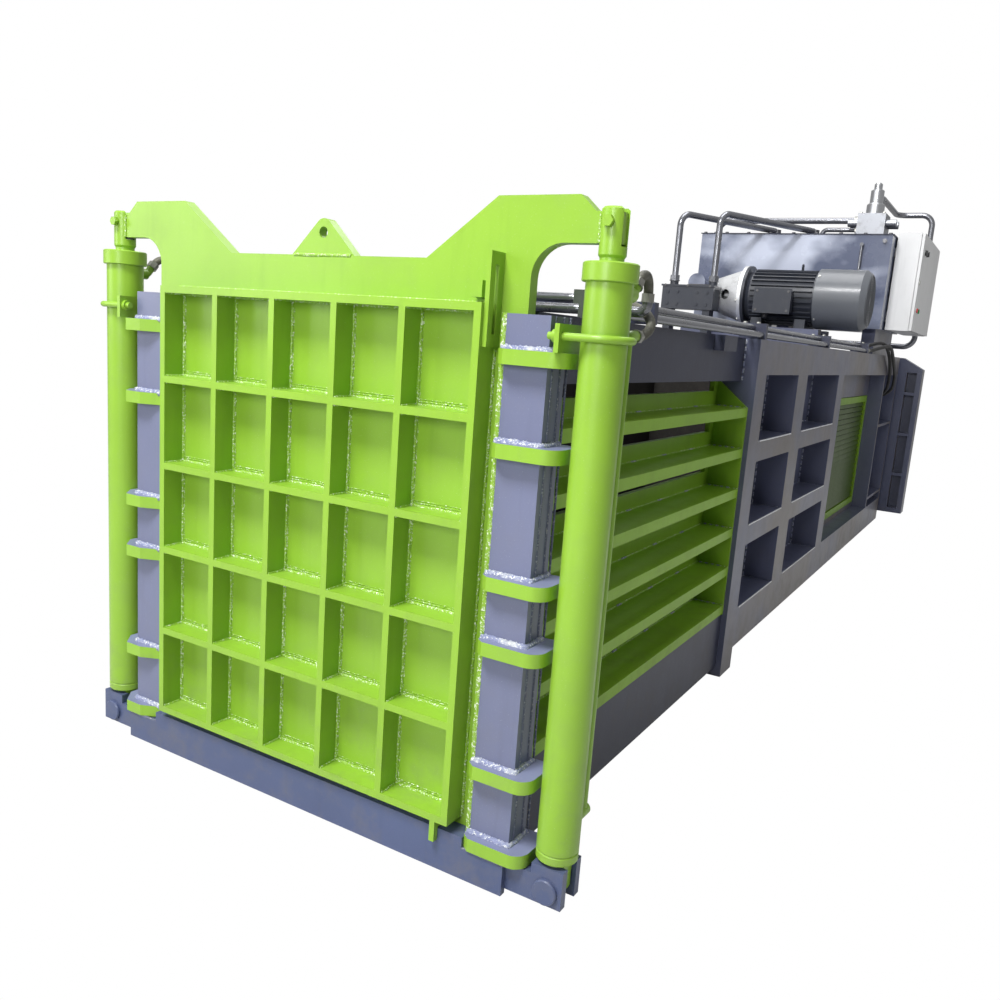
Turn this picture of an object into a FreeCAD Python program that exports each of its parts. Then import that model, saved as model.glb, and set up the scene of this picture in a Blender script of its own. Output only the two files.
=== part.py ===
"""Horizontal closed-end baling press: lifting gate, bale chamber, press frame and power pack.

Every driving dimension is a cell of the sheet "Sizes"; each piece binds its sizes and its place
to those cells.  X runs across the machine, Y from the gate to the rear crosshead, Z up from the
floor, with the origin on the floor under the middle of the machine.
"""
import FreeCAD, Part
import math
import os
from types import SimpleNamespace

from FreeCAD import Placement, Rotation, Vector
import Sketcher

# Name, millimetres (or a count), and what it measures.
SIZES = (
    ("overall_length", 6760, "front of the gate ribs to the rear of the crosshead"),
    # gate
    ("cells_across", 5, "rib cells across the gate"),
    ("cells_up", 5, "rib cells up the gate"),
    ("rib_pitch_across", 220, "rib spacing across"),
    ("rib_pitch_up", 263, "rib spacing up"),
    ("rib_thick", 20, "rib plate thickness"),
    ("rib_depth", 72, "how far the ribs stand forward of the gate plate"),
    ("rib_base_height", 152, "middle of the lowest rib above the floor"),
    ("gate_thick", 35, "gate and yoke plate"),
    ("gate_half_width", 645, "gate plate in its guides, from the middle"),
    ("gate_rest", 0.3, "gate plate above the sill"),
    ("yoke_valley_height", 1581, "top edge of the plate between the horns"),
    ("yoke_valley_half", 344, "foot of each horn from the middle"),
    ("horn_height", 1727, "top of the horns"),
    ("horn_inner_half", 543, "inner end of a horn's top"),
    ("horn_outer_half", 758, "outer end of a horn's top"),
    ("arm_half", 799, "end of the lifting arm's shoulder"),
    ("arm_bottom_height", 1621, "underside of the lifting arm"),
    ("arm_top_height", 1690, "top of the lifting arm's shoulder"),
    ("arch_radius", 80, "arch between the gate and the arm"),
    ("eye_half_base", 110, "lifting eye's foot, half"),
    ("eye_height", 96, "lifting eye above the plate"),
    ("eye_hole_radius", 15, "lifting eye's hole"),
    # guides
    ("gate_clearance", 3, "gate plate to each guide face"),
    ("gate_edge_gap", 7, "gate plate's edge to the guide's spacer"),
    ("guide_inner", 598, "inner edge of the front guide plate"),
    ("guide_outer", 722, "outer face of the guide column"),
    ("guide_plate", 24, "front and rear guide plates"),
    ("guide_top", 1457, "top of the guide columns"),
    ("guide_foot", 85, "underside of the guide columns"),
    ("lug_thick", 36, "column lug plates"),
    ("lug_outer", 778, "outer face of the column lugs"),
    ("lug_front", 12, "front of the column lugs behind the gate ribs' front"),
    ("lug_rear", 150, "rear end of the column lugs"),
    ("lug_round", 42, "outer corner of the right column's lugs"),
    ("lug_1", 125, "top of the lowest lug"),
    ("lug_2", 327, "top of the second lug"),
    ("lug_3", 658, "top of the third lug"),
    ("lug_4", 825, "top of the fourth lug"),
    ("lug_5", 1153, "top of the fifth lug"),
    ("lug_6", 1375, "top of the highest lug"),
    # sill and cylinder feet
    ("sill_height", 117, "top of the front sill"),
    ("sill_half", 724, "front sill's half length"),
    ("sill_front", 18, "front face of the sill behind the gate ribs' front"),
    ("sill_plate", 20, "front sill's face plate"),
    ("foot_plate", 25, "cylinder foot plates"),
    ("foot_plate_end", 884, "outer end of the cylinder foot plates"),
    ("foot_plate_top", 114, "top of the cylinder foot plates"),
    ("foot_plate_base", 12, "underside of the cylinder foot plates"),
    # gate cylinders
    ("cylinder_x", 838.6, "gate cylinder's axis from the middle"),
    ("cylinder_y", 89.5, "gate cylinder's axis behind the gate ribs' front"),
    ("barrel_radius", 54.4, "gate cylinder barrel"),
    ("bore_radius", 45, "gate cylinder bore"),
    ("barrel_base", 122, "underside of the barrel"),
    ("barrel_top", 1537, "top of the barrel"),
    ("cap_radius", 64, "gland cap"),
    ("cap_height", 43, "gland cap"),
    ("rod_radius", 28, "gate cylinder rod"),
    ("rod_head_radius", 32, "forked head of the rod"),
    ("rod_top", 1700, "top of the forked head"),
    ("rod_bolt_height", 1667, "bolt through the forked head"),
    ("rod_bolt_radius", 8, "bolt through the forked head"),
    ("port_high", 1517, "rod end port"),
    ("port_low", 215, "foot end port"),
    ("port_radius", 17, "port bosses"),
    ("port_reach", 106, "end of the lower port boss behind the cylinder's axis"),
    ("port_shift", 18, "port bosses outboard of the cylinder's axis"),
    ("elbow_over", 13, "elbow of the pipe up the barrel above the hoop"),
    ("elbow_out", 46, "reach of that elbow behind its pipe"),
    ("elbow_rise", 24, "upturned end of the outer gate line above its run"),
    ("pin_height", 50, "cylinder foot pin"),
    ("pin_radius", 20, "cylinder foot pin"),
    ("pin_head_radius", 34, "cylinder foot pin's head"),
    ("eye_width", 47, "cylinder foot eye along its pin"),
    ("pin_gap", 3, "foot eye to each of its plates"),
    ("hoop_height", 1412, "hoop round the barrel"),
    ("hoop_bar", 9, "radius of the hoop's bar"),
    ("hoop_plate_x", 753, "inner face of the hoop's bracket plate"),
    ("hoop_plate", 12, "hoop's bracket plate"),
    ("hoop_plate_height", 56, "hoop's bracket plate"),
    # bale chamber
    ("chamber_half", 530, "inside of the chamber walls from the middle"),
    ("chamber_wall", 20, "chamber wall plate"),
    ("floor_thick", 30, "floor plate"),
    ("roof_height", 1415, "underside of the roof"),
    ("roof_thick", 25, "roof plate"),
    ("shelf_outer", 685, "outer edge of the side shelves"),
    ("shelf_count", 6, "side shelves"),
    ("shelf_top", 1183, "top of the highest side shelf"),
    ("shelf_pitch", 171, "spacing of the side shelves"),
    ("shelf_lip", 38, "height of a shelf's lip"),
    ("shelf_plate", 12, "thickness of a shelf"),
    ("tie_slot", 50, "height of a tie slot"),
    ("slot_drop", 50, "tie slot below its shelf"),
    ("wall_post", 60, "posts at the ends of the chamber walls"),
    ("upper_beam_x", 642, "outer face of the upper beam"),
    ("upper_beam_base", 1292, "underside of the upper beam"),
    ("lower_beam_x", 680, "outer face of the lower beam"),
    ("lower_beam_base", 45, "underside of the lower beam"),
    ("lower_beam_top", 285, "top of the lower beam"),
    # press frame
    ("frame_half", 705, "outer face of the side frames"),
    ("frame_base", 96, "underside of the side frames"),
    ("frame_top", 1467, "top of the side frames"),
    ("press_wall", 25, "press wall plate"),
    ("front_post", 1937, "front face of the front post behind the gate ribs' front"),
    ("front_post_deep", 157, "front post along the machine"),
    ("window_one_long", 610, "first column of windows"),
    ("second_post_deep", 208, "post between the window columns"),
    ("window_two_long", 844, "second column of windows"),
    ("third_post_deep", 174, "post behind the windows"),
    ("rear_flange", 30, "flanges of the rear post"),
    ("rear_post_long", 730, "rear post along the machine"),
    ("rear_reach", 390, "rear of the crosshead behind the rear post"),
    ("bottom_rail", 185, "height of the bottom rail"),
    ("low_rail_base", 571, "underside of the low middle rail"),
    ("low_rail", 91, "height of the low middle rail"),
    ("high_rail_base", 945, "underside of the high middle rail"),
    ("high_rail", 90, "height of the high middle rail"),
    ("top_rail", 146, "height of the top rail"),
    ("feed_long", 1850, "feed opening along the machine"),
    # access door
    ("hole_margin", 120, "hole in the press wall inside each end of the access bay"),
    ("door_face", 600, "outer face of the access door"),
    ("door_thick", 30, "access door"),
    ("door_base", 318, "underside of the access door"),
    ("door_top", 1155, "top of the access door"),
    ("door_bar", 46, "bars of the access door's frame"),
    ("door_gap", 4, "running gap round the access door"),
    ("slat_count", 20, "slats in the access door"),
    ("hinge_radius", 9, "access door's hinge knuckles"),
    ("hinge_pin", 5, "access door's hinge pins"),
    ("hinge_high", 40, "one knuckle"),
    ("pin_clearance", 0.05, "running clearance of pins and shafts"),
    # rear crosshead and ram
    ("crosshead_half", 870, "rear crosshead's half width"),
    ("crosshead_thick", 160, "rear crosshead along the machine"),
    ("crosshead_base", 130, "underside of the rear crosshead"),
    ("ram_rest", 80, "drawn-back ram face behind the third post"),
    ("ram_face", 60, "ram face plate"),
    ("ram_end_gap", 440, "drawn-back ram's skirts to the crosshead"),
    ("ram_skirt", 16, "ram skirt plates"),
    ("ram_gap", 3, "ram to the chamber walls"),
    ("main_height", 781, "main cylinder's axis"),
    ("main_radius", 140, "main cylinder barrel"),
    ("main_bore", 110, "main cylinder bore"),
    ("main_rod", 75, "main cylinder rod"),
    ("main_lead", 280, "front of the main cylinder behind the drawn-back ram's face"),
    ("main_proud", 20, "main cylinder's end inside the rear of the crosshead"),
    ("main_end", 90, "closed end of the main cylinder"),
    ("piston_long", 90, "main piston"),
    ("piston_back", 128, "drawn-back main piston to the cylinder's closed end"),
    # power pack
    ("motor_lead", 570, "motor axis before the front of the oil tank"),
    ("motor_rise", 333, "motor axis above the frame"),
    ("motor_foot", 205, "motor axis above its stool"),
    ("motor_radius", 170, "motor body inside its fins"),
    ("fin_height", 16, "motor fins"),
    ("fin_count", 32, "motor fins"),
    ("motor_left", -95, "flange end of the motor body"),
    ("motor_right", 385, "fan end of the motor body"),
    ("cowl_radius", 198, "fan cowl"),
    ("cowl_wall", 4, "fan cowl's sheet"),
    ("cowl_end", 688, "end of the fan cowl"),
    ("flange_radius", 205, "motor flange"),
    ("flange_thick", 20, "motor flange"),
    ("bell_end", -340, "pump end of the bell housing"),
    ("bell_radius", 112, "pump end of the bell housing"),
    ("shaft_radius", 24, "motor shaft"),
    ("pump_radius", 72, "pump body"),
    ("stool_left", -520, "pump end of the motor stool"),
    ("stool_rail", 90, "width of the stool's rails"),
    ("stool_spread", 130, "stool's rails from the motor axis"),
    ("block_lead", 290, "front of the valve block before the motor axis"),
    ("block_deep", 150, "valve block along the machine"),
    ("block_out", 640, "outer end of the valve block from the middle"),
    ("block_in", 272, "inner end of the valve block from the middle"),
    ("block_drop", 120, "underside of the valve block below the motor axis"),
    ("block_tall", 152, "height of the valve block"),
    ("riser_out", 585, "outer riser from the middle"),
    ("riser_in", 304, "inner riser from the middle"),
    ("riser_over", 30, "runs of the risers above the tank's lid"),
    ("riser_bend", 84, "bends of the pipes on the power pack"),
    ("riser_drift", 430, "how far to the right the risers' runs land"),
    ("riser_land", 125, "end of the risers' runs behind the tank's front"),
    ("tank_half", 690, "oil tank's half width"),
    ("tank_back", 1630, "front of the oil tank before the rear of the crosshead"),
    ("tank_deep", 960, "oil tank along the machine"),
    ("tank_base", 1645, "underside of the oil tank"),
    ("tank_top", 2296, "top of the oil tank"),
    ("lid_thick", 6, "oil tank's lid"),
    ("lid_lap", 8, "lid beyond the tank"),
    ("filter_radius", 58, "return filter on the tank's front"),
    ("filter_long", 190, "return filter"),
    ("filter_height", 1912, "return filter's axis"),
    ("stand_foot", 90, "width of the tank's stand"),
    ("filler_radius", 52, "filler cap"),
    ("filler_side", 120, "filler cap left of the middle"),
    ("filler_back", 700, "filler cap behind the tank's front"),
    ("cap_clearance", 0.05, "filler cap on its neck"),
    ("gauge_side", 495, "level gauge right of the middle"),
    ("gauge_drop", 275, "foot of the level gauge below the tank's top"),
    ("gauge_long", 205, "level gauge"),
    ("valve_side", 505, "valve manifold right of the middle"),
    ("valve_back", 260, "valve manifold behind the tank's front"),
    ("valve_wide", 190, "valve manifold across"),
    ("valve_deep", 220, "valve manifold along the machine"),
    ("valve_high", 165, "valve manifold"),
    ("cross_rise", 125, "pipe across the tank above its lid"),
    ("cross_inset", 42, "end of the pipe across the tank inside the tank's left side"),
    ("drain_rise", 60, "manifold's drain pipe above the lid"),
    ("drain_reach", 260, "end of the drain pipe left of the manifold"),
    ("drain_radius", 16, "manifold's drain pipe"),
    ("relief_radius", 62, "relief valve's foot"),
    ("main_line_lead", 280, "pipe to the main cylinder before the rear of the crosshead"),
    ("main_line_rise", 323, "crest of the pipe to the main cylinder above the lid"),
    ("main_line_side", 80, "pipe to the main cylinder outboard of the cabinet's back"),
    ("main_line_run", 90, "pipe to the main cylinder from the manifold to its first bend"),
    ("suction_radius", 36, "pipe from the tank to the pump"),
    ("line_inner", 657, "inner pipe of the gate lines from the middle"),
    ("line_outer", 695, "outer pipe of the gate lines from the middle"),
    ("line_rise", 18, "outer gate line above the frame"),
    ("line_step", 28, "inner gate line above the outer one"),
    ("line_near", 300, "front of the gate lines behind the gate ribs' front"),
    ("line_gap", 45, "spacing of the gate lines where they cross"),
    ("line_lead", 430, "rear of the gate lines before the front of the oil tank"),
    ("clamp_1", 700, "first pipe clamp"),
    ("clamp_2", 1960, "second pipe clamp"),
    ("clamp_3", 3300, "third pipe clamp"),
    ("clamp_lead", 100, "last pipe clamp before the rear of the gate lines"),
    ("pipe_radius", 22, "risers from the pump"),
    ("gate_pipe_radius", 13, "pipes along the frame to the gate cylinders"),
    ("hose_radius", 12, "hoses"),
    # cabinet
    ("cabinet_inner", 700, "cabinet's back from the middle"),
    ("cabinet_sheet", 3, "cabinet sheet metal"),
    ("cabinet_knuckle", 7, "cabinet door's hinge knuckles"),
    ("cabinet_pin", 3.5, "cabinet door's hinge pins"),
    ("bezel_radius", 22, "rings round the knobs and buttons"),
    ("spindle_radius", 5, "knob spindles"),
    ("button_gap", 0.3, "knobs and buttons to the door"),
    ("cabinet_outer", 878, "outer face of the cabinet's door"),
    ("cabinet_shift", 170, "front side of the cabinet behind the front of the oil tank"),
    ("cabinet_long", 1100, "cabinet along the machine"),
    ("cabinet_base", 1650, "underside of the cabinet"),
    ("cabinet_top", 2335, "top of the cabinet"),
    ("cabinet_door", 22, "cabinet door"),
    ("button_radius", 16, "push buttons"),
)


class Size:
    """A length taken from the sheet or worked out from it: its value and its formula."""

    def __init__(self, value, formula):
        self.value = value
        self.formula = formula

    def __add__(self, other):
        return Size(self.value + number(other), f"({self.formula} + {text(other)})")

    def __radd__(self, other):
        return Size(number(other) + self.value, f"({text(other)} + {self.formula})")

    def __sub__(self, other):
        return Size(self.value - number(other), f"({self.formula} - {text(other)})")

    def __rsub__(self, other):
        return Size(number(other) - self.value, f"({text(other)} - {self.formula})")

    def __mul__(self, other):
        return Size(self.value * number(other), f"({self.formula} * {text(other)})")

    __rmul__ = __mul__

    def __truediv__(self, other):
        return Size(self.value / number(other), f"({self.formula} / {text(other)})")

    def __neg__(self):
        return Size(-self.value, f"(0 - {self.formula})")


def number(size):
    return size.value if isinstance(size, Size) else float(size)


def text(size):
    return size.formula if isinstance(size, Size) else f"{size:g}"


doc = FreeCAD.newDocument("BalingPress")
sheet = doc.addObject("Spreadsheet::Sheet", "Sizes")
d = SimpleNamespace()
for row, (name, value, meaning) in enumerate(SIZES, start=1):
    sheet.set(f"A{row}", meaning)
    sheet.set(f"B{row}", str(value))
    sheet.setAlias(f"B{row}", name)
    setattr(d, name, Size(float(value), f"Sizes.{name}"))
doc.recompute()

nodes = []
PLANES = {"XY": "XY_Plane", "XZ": "XZ_Plane", "YZ": "YZ_Plane"}
ALONG = {"X": Rotation(Vector(0, 1, 0), 90), "Y": Rotation(Vector(1, 0, 0), -90), "Z": Rotation()}


def keep(item, name):
    """Make the object a sub-part that is written out under its own name."""
    item.Label = name
    nodes.append(item)
    return item


def bind(item, path, size):
    item.setExpression(path, text(size))


def place(item, x=0, y=0, z=0):
    for letter, size in zip("xyz", (x, y, z)):
        bind(item, f"Placement.Base.{letter}", size)
    return item


def block(name, x, y, z):
    """A plate or bar between two limits on each axis."""
    item = doc.addObject("Part::Box", name)
    for path, (low, high) in zip(("Length", "Width", "Height"), (x, y, z)):
        bind(item, path, Size(number(high) - number(low), f"({text(high)} - {text(low)})"))
    return place(item, x[0], y[0], z[0])


def round_bar(name, radius, length, x, y, z, axis="Z"):
    item = doc.addObject("Part::Cylinder", name)
    bind(item, "Radius", radius)
    bind(item, "Height", length)
    item.Placement = Placement(Vector(), ALONG[axis])
    return place(item, x, y, z)


def joined(name, parts):
    item = doc.addObject("Part::MultiFuse", name)
    item.Shapes = parts
    item.Refine = True
    return item


def cut(name, base, tools):
    item = doc.addObject("Part::Cut", name)
    item.Base = base
    item.Tool = tools[0] if len(tools) == 1 else joined(name + "_tools", tools)
    item.Refine = True
    return item


def group(name, parts):
    """Separate solids that are welded or bolted up as one set."""
    item = doc.addObject("Part::Compound", name)
    item.Links = parts
    return item


def mirrored(name, source):
    item = doc.addObject("Part::Mirroring", name)
    item.Source = source
    item.Normal = Vector(1, 0, 0)
    item.Base = Vector()
    return item


def both(name, parts):
    """The same set on the right and, mirrored, on the left."""
    right = parts[0] if len(parts) == 1 else group(name + "_right", parts)
    return group(name + "_pair", [right, mirrored(name + "_left", right)])


def sketch_on(body, plane):
    flat = next(f for f in body.Origin.OriginFeatures if f.Role == PLANES[plane])
    sketch = body.newObject("Sketcher::SketchObject", body.Name + "_sketch")
    sketch.AttachmentSupport = [(flat, "")]
    sketch.MapMode = "FlatFace"
    return sketch


def pin_point(sketch, edge, end, place_at):
    """Hold one end of an edge at its two formulas, measured from the sketch's origin."""
    for kind, size in zip(("DistanceX", "DistanceY"), place_at):
        index = sketch.addConstraint(Sketcher.Constraint(kind, -1, 1, edge, end, number(size)))
        if isinstance(size, Size):
            sketch.setExpression(f"Constraints[{index}]", size.formula)


def outline(sketch, corners):
    """A closed run of straight lines through the corners."""
    first = sketch.GeometryCount
    spots = [Vector(number(a), number(b), 0) for a, b in corners]
    for start, end in zip(spots, spots[1:] + spots[:1]):
        sketch.addGeometry(Part.LineSegment(start, end), False)
    total = len(corners)
    for step in range(total):
        following = first + (step + 1) % total
        sketch.addConstraint(Sketcher.Constraint("Coincident", first + step, 2, following, 1))
        pin_point(sketch, first + step, 1, corners[step])


def ring(sketch, centre, radius):
    spot = Vector(number(centre[0]), number(centre[1]), 0)
    index = sketch.addGeometry(Part.Circle(spot, Vector(0, 0, 1), number(radius)), False)
    pin_point(sketch, index, 3, centre)
    limit = sketch.addConstraint(Sketcher.Constraint("Radius", index, number(radius)))
    if isinstance(radius, Size):
        sketch.setExpression(f"Constraints[{limit}]", radius.formula)


def new_body(name):
    return doc.addObject("PartDesign::Body", name)


def pad(body, sketch, length, towards_back=False):
    feature = body.newObject("PartDesign::Pad", body.Name + "_pad")
    feature.Profile = sketch
    bind(feature, "Length", length)
    feature.Reversed = towards_back
    body.Tip = feature
    return feature


def plate(name, plane, corners, thick, x=0, y=0, z=0, holes=()):
    """A flat plate: XZ plates grow towards the rear, YZ to the right, XY upwards."""
    body = new_body(name)
    sketch = sketch_on(body, plane)
    outline(sketch, corners)
    for spot, radius in holes:
        ring(sketch, spot, radius)
    pad(body, sketch, thick, towards_back=(plane == "XZ"))
    return place(body, x, y, z)


def turned(name, plane, corners, x=0, y=0, z=0):
    """A round piece about the sketch's own axis: upright in XZ, lengthwise in YZ and XY."""
    body = new_body(name)
    sketch = sketch_on(body, plane)
    outline(sketch, corners)
    feature = body.newObject("PartDesign::Revolution", body.Name + "_turn")
    feature.Profile = sketch
    feature.ReferenceAxis = (sketch, ["V_Axis" if plane == "XZ" else "H_Axis"])
    feature.Angle = 360
    body.Tip = feature
    return place(body, x, y, z)


def round_corners(body, spots, radius, plane="XZ"):
    """Round the edges that stand on the plate's outline at the given corners."""
    doc.recompute()
    tip = body.Tip
    pick = {"XZ": lambda v: (v.x, v.z), "YZ": lambda v: (v.y, v.z), "XY": lambda v: (v.x, v.y)}[plane]
    wanted = [(number(a), number(b)) for a, b in spots]
    names = []
    for index, edge in enumerate(tip.Shape.Edges, start=1):
        low, high = (pick(vertex.Point) for vertex in (edge.Vertexes[0], edge.Vertexes[-1]))
        if math.dist(low, high) < 0.01 and any(math.dist(low, spot) < 0.1 for spot in wanted):
            names.append(f"Edge{index}")
    feature = body.newObject("PartDesign::Fillet", body.Name + "_round")
    feature.Base = (tip, names)
    bind(feature, "Radius", radius)
    body.Tip = feature
    return body


def swept(points, radius, *bends):
    """A round bar or pipe along straight runs joined by tangent arcs, the last bend repeated."""
    points = [Vector(*[number(size) for size in point]) for point in points]
    bends = [number(bend) for bend in bends]
    bends += bends[-1:] * (len(points) - 2 - len(bends))
    edges = []
    start = points[0]
    for before, corner, after, bend in zip(points, points[1:], points[2:], bends):
        back = (before - corner).normalize()
        ahead = (after - corner).normalize()
        turn = math.pi - back.getAngle(ahead)
        reach = bend * math.tan(turn / 2)
        inward = (back + ahead).normalize()
        middle = corner + inward * (bend / math.cos(turn / 2) - bend)
        edges.append(Part.LineSegment(start, corner + back * reach).toShape())
        edges.append(Part.Arc(corner + back * reach, middle, corner + ahead * reach).toShape())
        start = corner + ahead * reach
    edges.append(Part.LineSegment(start, points[-1]).toShape())
    circle = Part.Circle(points[0], points[1] - points[0], number(radius))
    return Part.Wire(edges).makePipeShell([Part.Wire(circle.toShape())], True, False)


def bars(name, shapes):
    """Pipes, hoses and bent bars, one solid for each run."""
    item = doc.addObject("Part::Feature", name)
    item.Shape = Part.makeCompound(shapes) if len(shapes) > 1 else shapes[0]
    item.Placement = Placement()
    return item


# Places along the machine that many pieces share.
front = -(d.overall_length / 2)
rear = d.overall_length / 2
gate_front = front + d.rib_depth
gate_back = gate_front + d.gate_thick
guide_front = gate_front - d.gate_clearance - d.guide_plate
guide_back = gate_back + d.gate_clearance + d.guide_plate
chamber_front = gate_back + d.gate_clearance
floor_top = d.sill_height + d.floor_thick
chamber_outer = d.chamber_half + d.chamber_wall
press_outer = d.chamber_half + d.press_wall
cylinder_y = front + d.cylinder_y
post_front = front + d.front_post
post_back = post_front + d.front_post_deep
second_front = post_back + d.window_one_long
second_back = second_front + d.second_post_deep
third_front = second_back + d.window_two_long
third_back = third_front + d.third_post_deep
frame_rear = rear - d.rear_reach
bay_back = frame_rear - d.rear_post_long
crosshead_front = rear - d.crosshead_thick
bottom_rail_top = d.frame_base + d.bottom_rail
top_rail_base = d.frame_top - d.top_rail
roof_top = d.roof_height + d.roof_thick
gate_bottom = d.sill_height + d.gate_rest
tank_lid_top = d.tank_top + d.lid_thick
line_z = d.frame_top + d.line_rise
line_high = line_z + d.line_step
tank_start = rear - d.tank_back
motor_line = tank_start - d.motor_lead
motor_axis = d.frame_top + d.motor_rise
block_front = motor_line - d.block_lead
block_low = motor_axis - d.block_drop
block_high = block_low + d.block_tall
line_end = tank_start - d.line_lead
ram_rest_y = third_back + d.ram_rest


def make_gate():
    """Gate and yoke in one plate, its crate of ribs, and what is welded on."""
    tongue_end = d.cylinder_x + d.rod_head_radius * 0.7
    right = [
        (d.gate_half_width, gate_bottom),
        (d.gate_half_width, d.arm_bottom_height),
        (tongue_end, d.arm_bottom_height),
        (tongue_end, d.arm_top_height),
        (d.arm_half, d.arm_top_height),
        (d.horn_outer_half, d.horn_height),
        (d.horn_inner_half, d.horn_height),
        (d.yoke_valley_half, d.yoke_valley_height),
    ]
    left = [(-across, up) for across, up in reversed(right)]
    bolts = [((side * d.cylinder_x, d.rod_bolt_height), d.rod_bolt_radius) for side in (1, -1)]
    gate = plate("gate_plate", "XZ", right + left, d.gate_thick, y=gate_front, holes=bolts)
    arches = [(side * d.gate_half_width, d.arm_bottom_height) for side in (1, -1)]
    keep(round_corners(gate, arches, d.arch_radius), "gate_plate")

    half = d.rib_thick / 2
    columns = int(number(d.cells_across)) + 1
    rows = int(number(d.cells_up)) + 1
    across = [(index - (columns - 1) / 2) * d.rib_pitch_across for index in range(columns)]
    up = [d.rib_base_height + index * d.rib_pitch_up for index in range(rows)]
    depth = (front, gate_front)
    uprights = [
        block(f"upright_rib_{index + 1}", (x - half, x + half), depth, (up[0] - half, up[-1] + half))
        for index, x in enumerate(across)
    ]
    crossbars = [
        block(f"cross_rib_{row}_{index}", (x + half, following - half), depth, (z - half, z + half))
        for row, z in enumerate(up)
        for index, (x, following) in enumerate(zip(across, across[1:]))
    ]
    keep(group("ribs", uprights + crossbars), "gate_ribs")

    eye_thick = d.gate_thick - 5
    foot = d.yoke_valley_height
    eye_corners = [(-d.eye_half_base, foot), (d.eye_half_base, foot), (0, foot + d.eye_height * 1.12)]
    eye_hole = [((0, foot + d.eye_height * 0.62), d.eye_hole_radius)]
    eye = plate("lifting_eye", "XZ", eye_corners, eye_thick, y=gate_front + 2.5, holes=eye_hole)
    keep(round_corners(eye, eye_corners[2:], d.eye_height * 0.3), "lifting_eye")

    # A slotted plate beside the crate carries the gate's position switch.
    inner = d.rib_pitch_across * (columns - 1) / 2 + half
    base, top = up[-1] - 92, d.yoke_valley_height + 15
    deep = d.rib_depth - 12
    slot_front, slot_back = deep * 0.35, deep * 0.62
    carrier = new_body("switch_plate")
    sketch = sketch_on(carrier, "YZ")
    outline(sketch, [(0, base), (deep, base), (deep, top), (0, top)])
    outline(
        sketch,
        [(slot_front, base + 30), (slot_back, base + 30), (slot_back, top - 30), (slot_front, top - 30)],
    )
    pad(carrier, sketch, 12)
    place(carrier, inner, gate_front - deep)
    small = block("switch_foot", (inner - 60, inner - 28), (gate_front - 30, gate_front), (up[-1] + 23, up[-1] + 63))
    keep(group("switch_set", [carrier, small]), "switch_bracket")

    # A hooked tab under the lowest rib drops in front of the sill.
    low = up[0] - half
    nose = d.sill_front - d.gate_rest * 2
    tab = plate(
        "gate_tab",
        "YZ",
        [
            (0, d.guide_foot),
            (nose, d.guide_foot),
            (nose, d.sill_height + 4),
            (d.rib_depth, d.sill_height + 4),
            (d.rib_depth, low),
            (0, low),
        ],
        16,
        x=inner - 54,
        y=front,
    )
    keep(tab, "gate_foot_tab")


def make_rods():
    """Rods of the gate cylinders: forked heads bolted to the yoke, pistons in the bores."""
    piston_base = d.barrel_base + 60
    piston_top = piston_base + 50
    head_base = d.barrel_top + d.cap_height + 10
    fork_floor = d.arm_bottom_height - 6
    rod = turned(
        "rod_turning",
        "XZ",
        [
            (0, piston_base),
            (d.bore_radius - d.pin_clearance, piston_base),
            (d.bore_radius - d.pin_clearance, piston_top),
            (d.rod_radius, piston_top),
            (d.rod_radius, head_base),
            (d.rod_head_radius, head_base + 6),
            (d.rod_head_radius, d.rod_top - 5),
            (d.rod_head_radius - 5, d.rod_top),
            (0, d.rod_top),
        ],
        x=d.cylinder_x,
        y=cylinder_y,
    )
    wide = d.rod_head_radius + 10
    slot = block(
        "fork_slot",
        (d.cylinder_x - wide, d.cylinder_x + wide),
        (gate_front, gate_back),
        (fork_floor, d.rod_top + 10),
    )
    bolt_hole = round_bar(
        "fork_hole",
        d.rod_bolt_radius,
        wide * 2,
        d.cylinder_x,
        cylinder_y - wide,
        d.rod_bolt_height,
        axis="Y",
    )
    keep(both("rod", [cut("rod_forked", rod, [slot, bolt_hole])]), "gate_rods")

    head = d.rod_bolt_radius * 1.7
    reach = d.rod_head_radius + 1
    bolts = []
    for side, label in ((1, "right"), (-1, "left")):
        x = side * d.cylinder_x
        shank = round_bar(
            f"{label}_shank", d.rod_bolt_radius, reach * 2, x, cylinder_y - reach, d.rod_bolt_height, axis="Y"
        )
        parts = [shank]
        for end, y in (("head", cylinder_y - reach - 12), ("nut", cylinder_y + reach)):
            hexagon = doc.addObject("Part::Prism", f"{label}_{end}")
            hexagon.Polygon = 6
            bind(hexagon, "Circumradius", head)
            bind(hexagon, "Height", 12)
            hexagon.Placement = Placement(Vector(), ALONG["Y"])
            parts.append(place(hexagon, x, y, d.rod_bolt_height))
        bolts.append(joined(f"{label}_bolt", parts))
    keep(group("fork_bolts", bolts), "rod_bolts")


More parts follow.
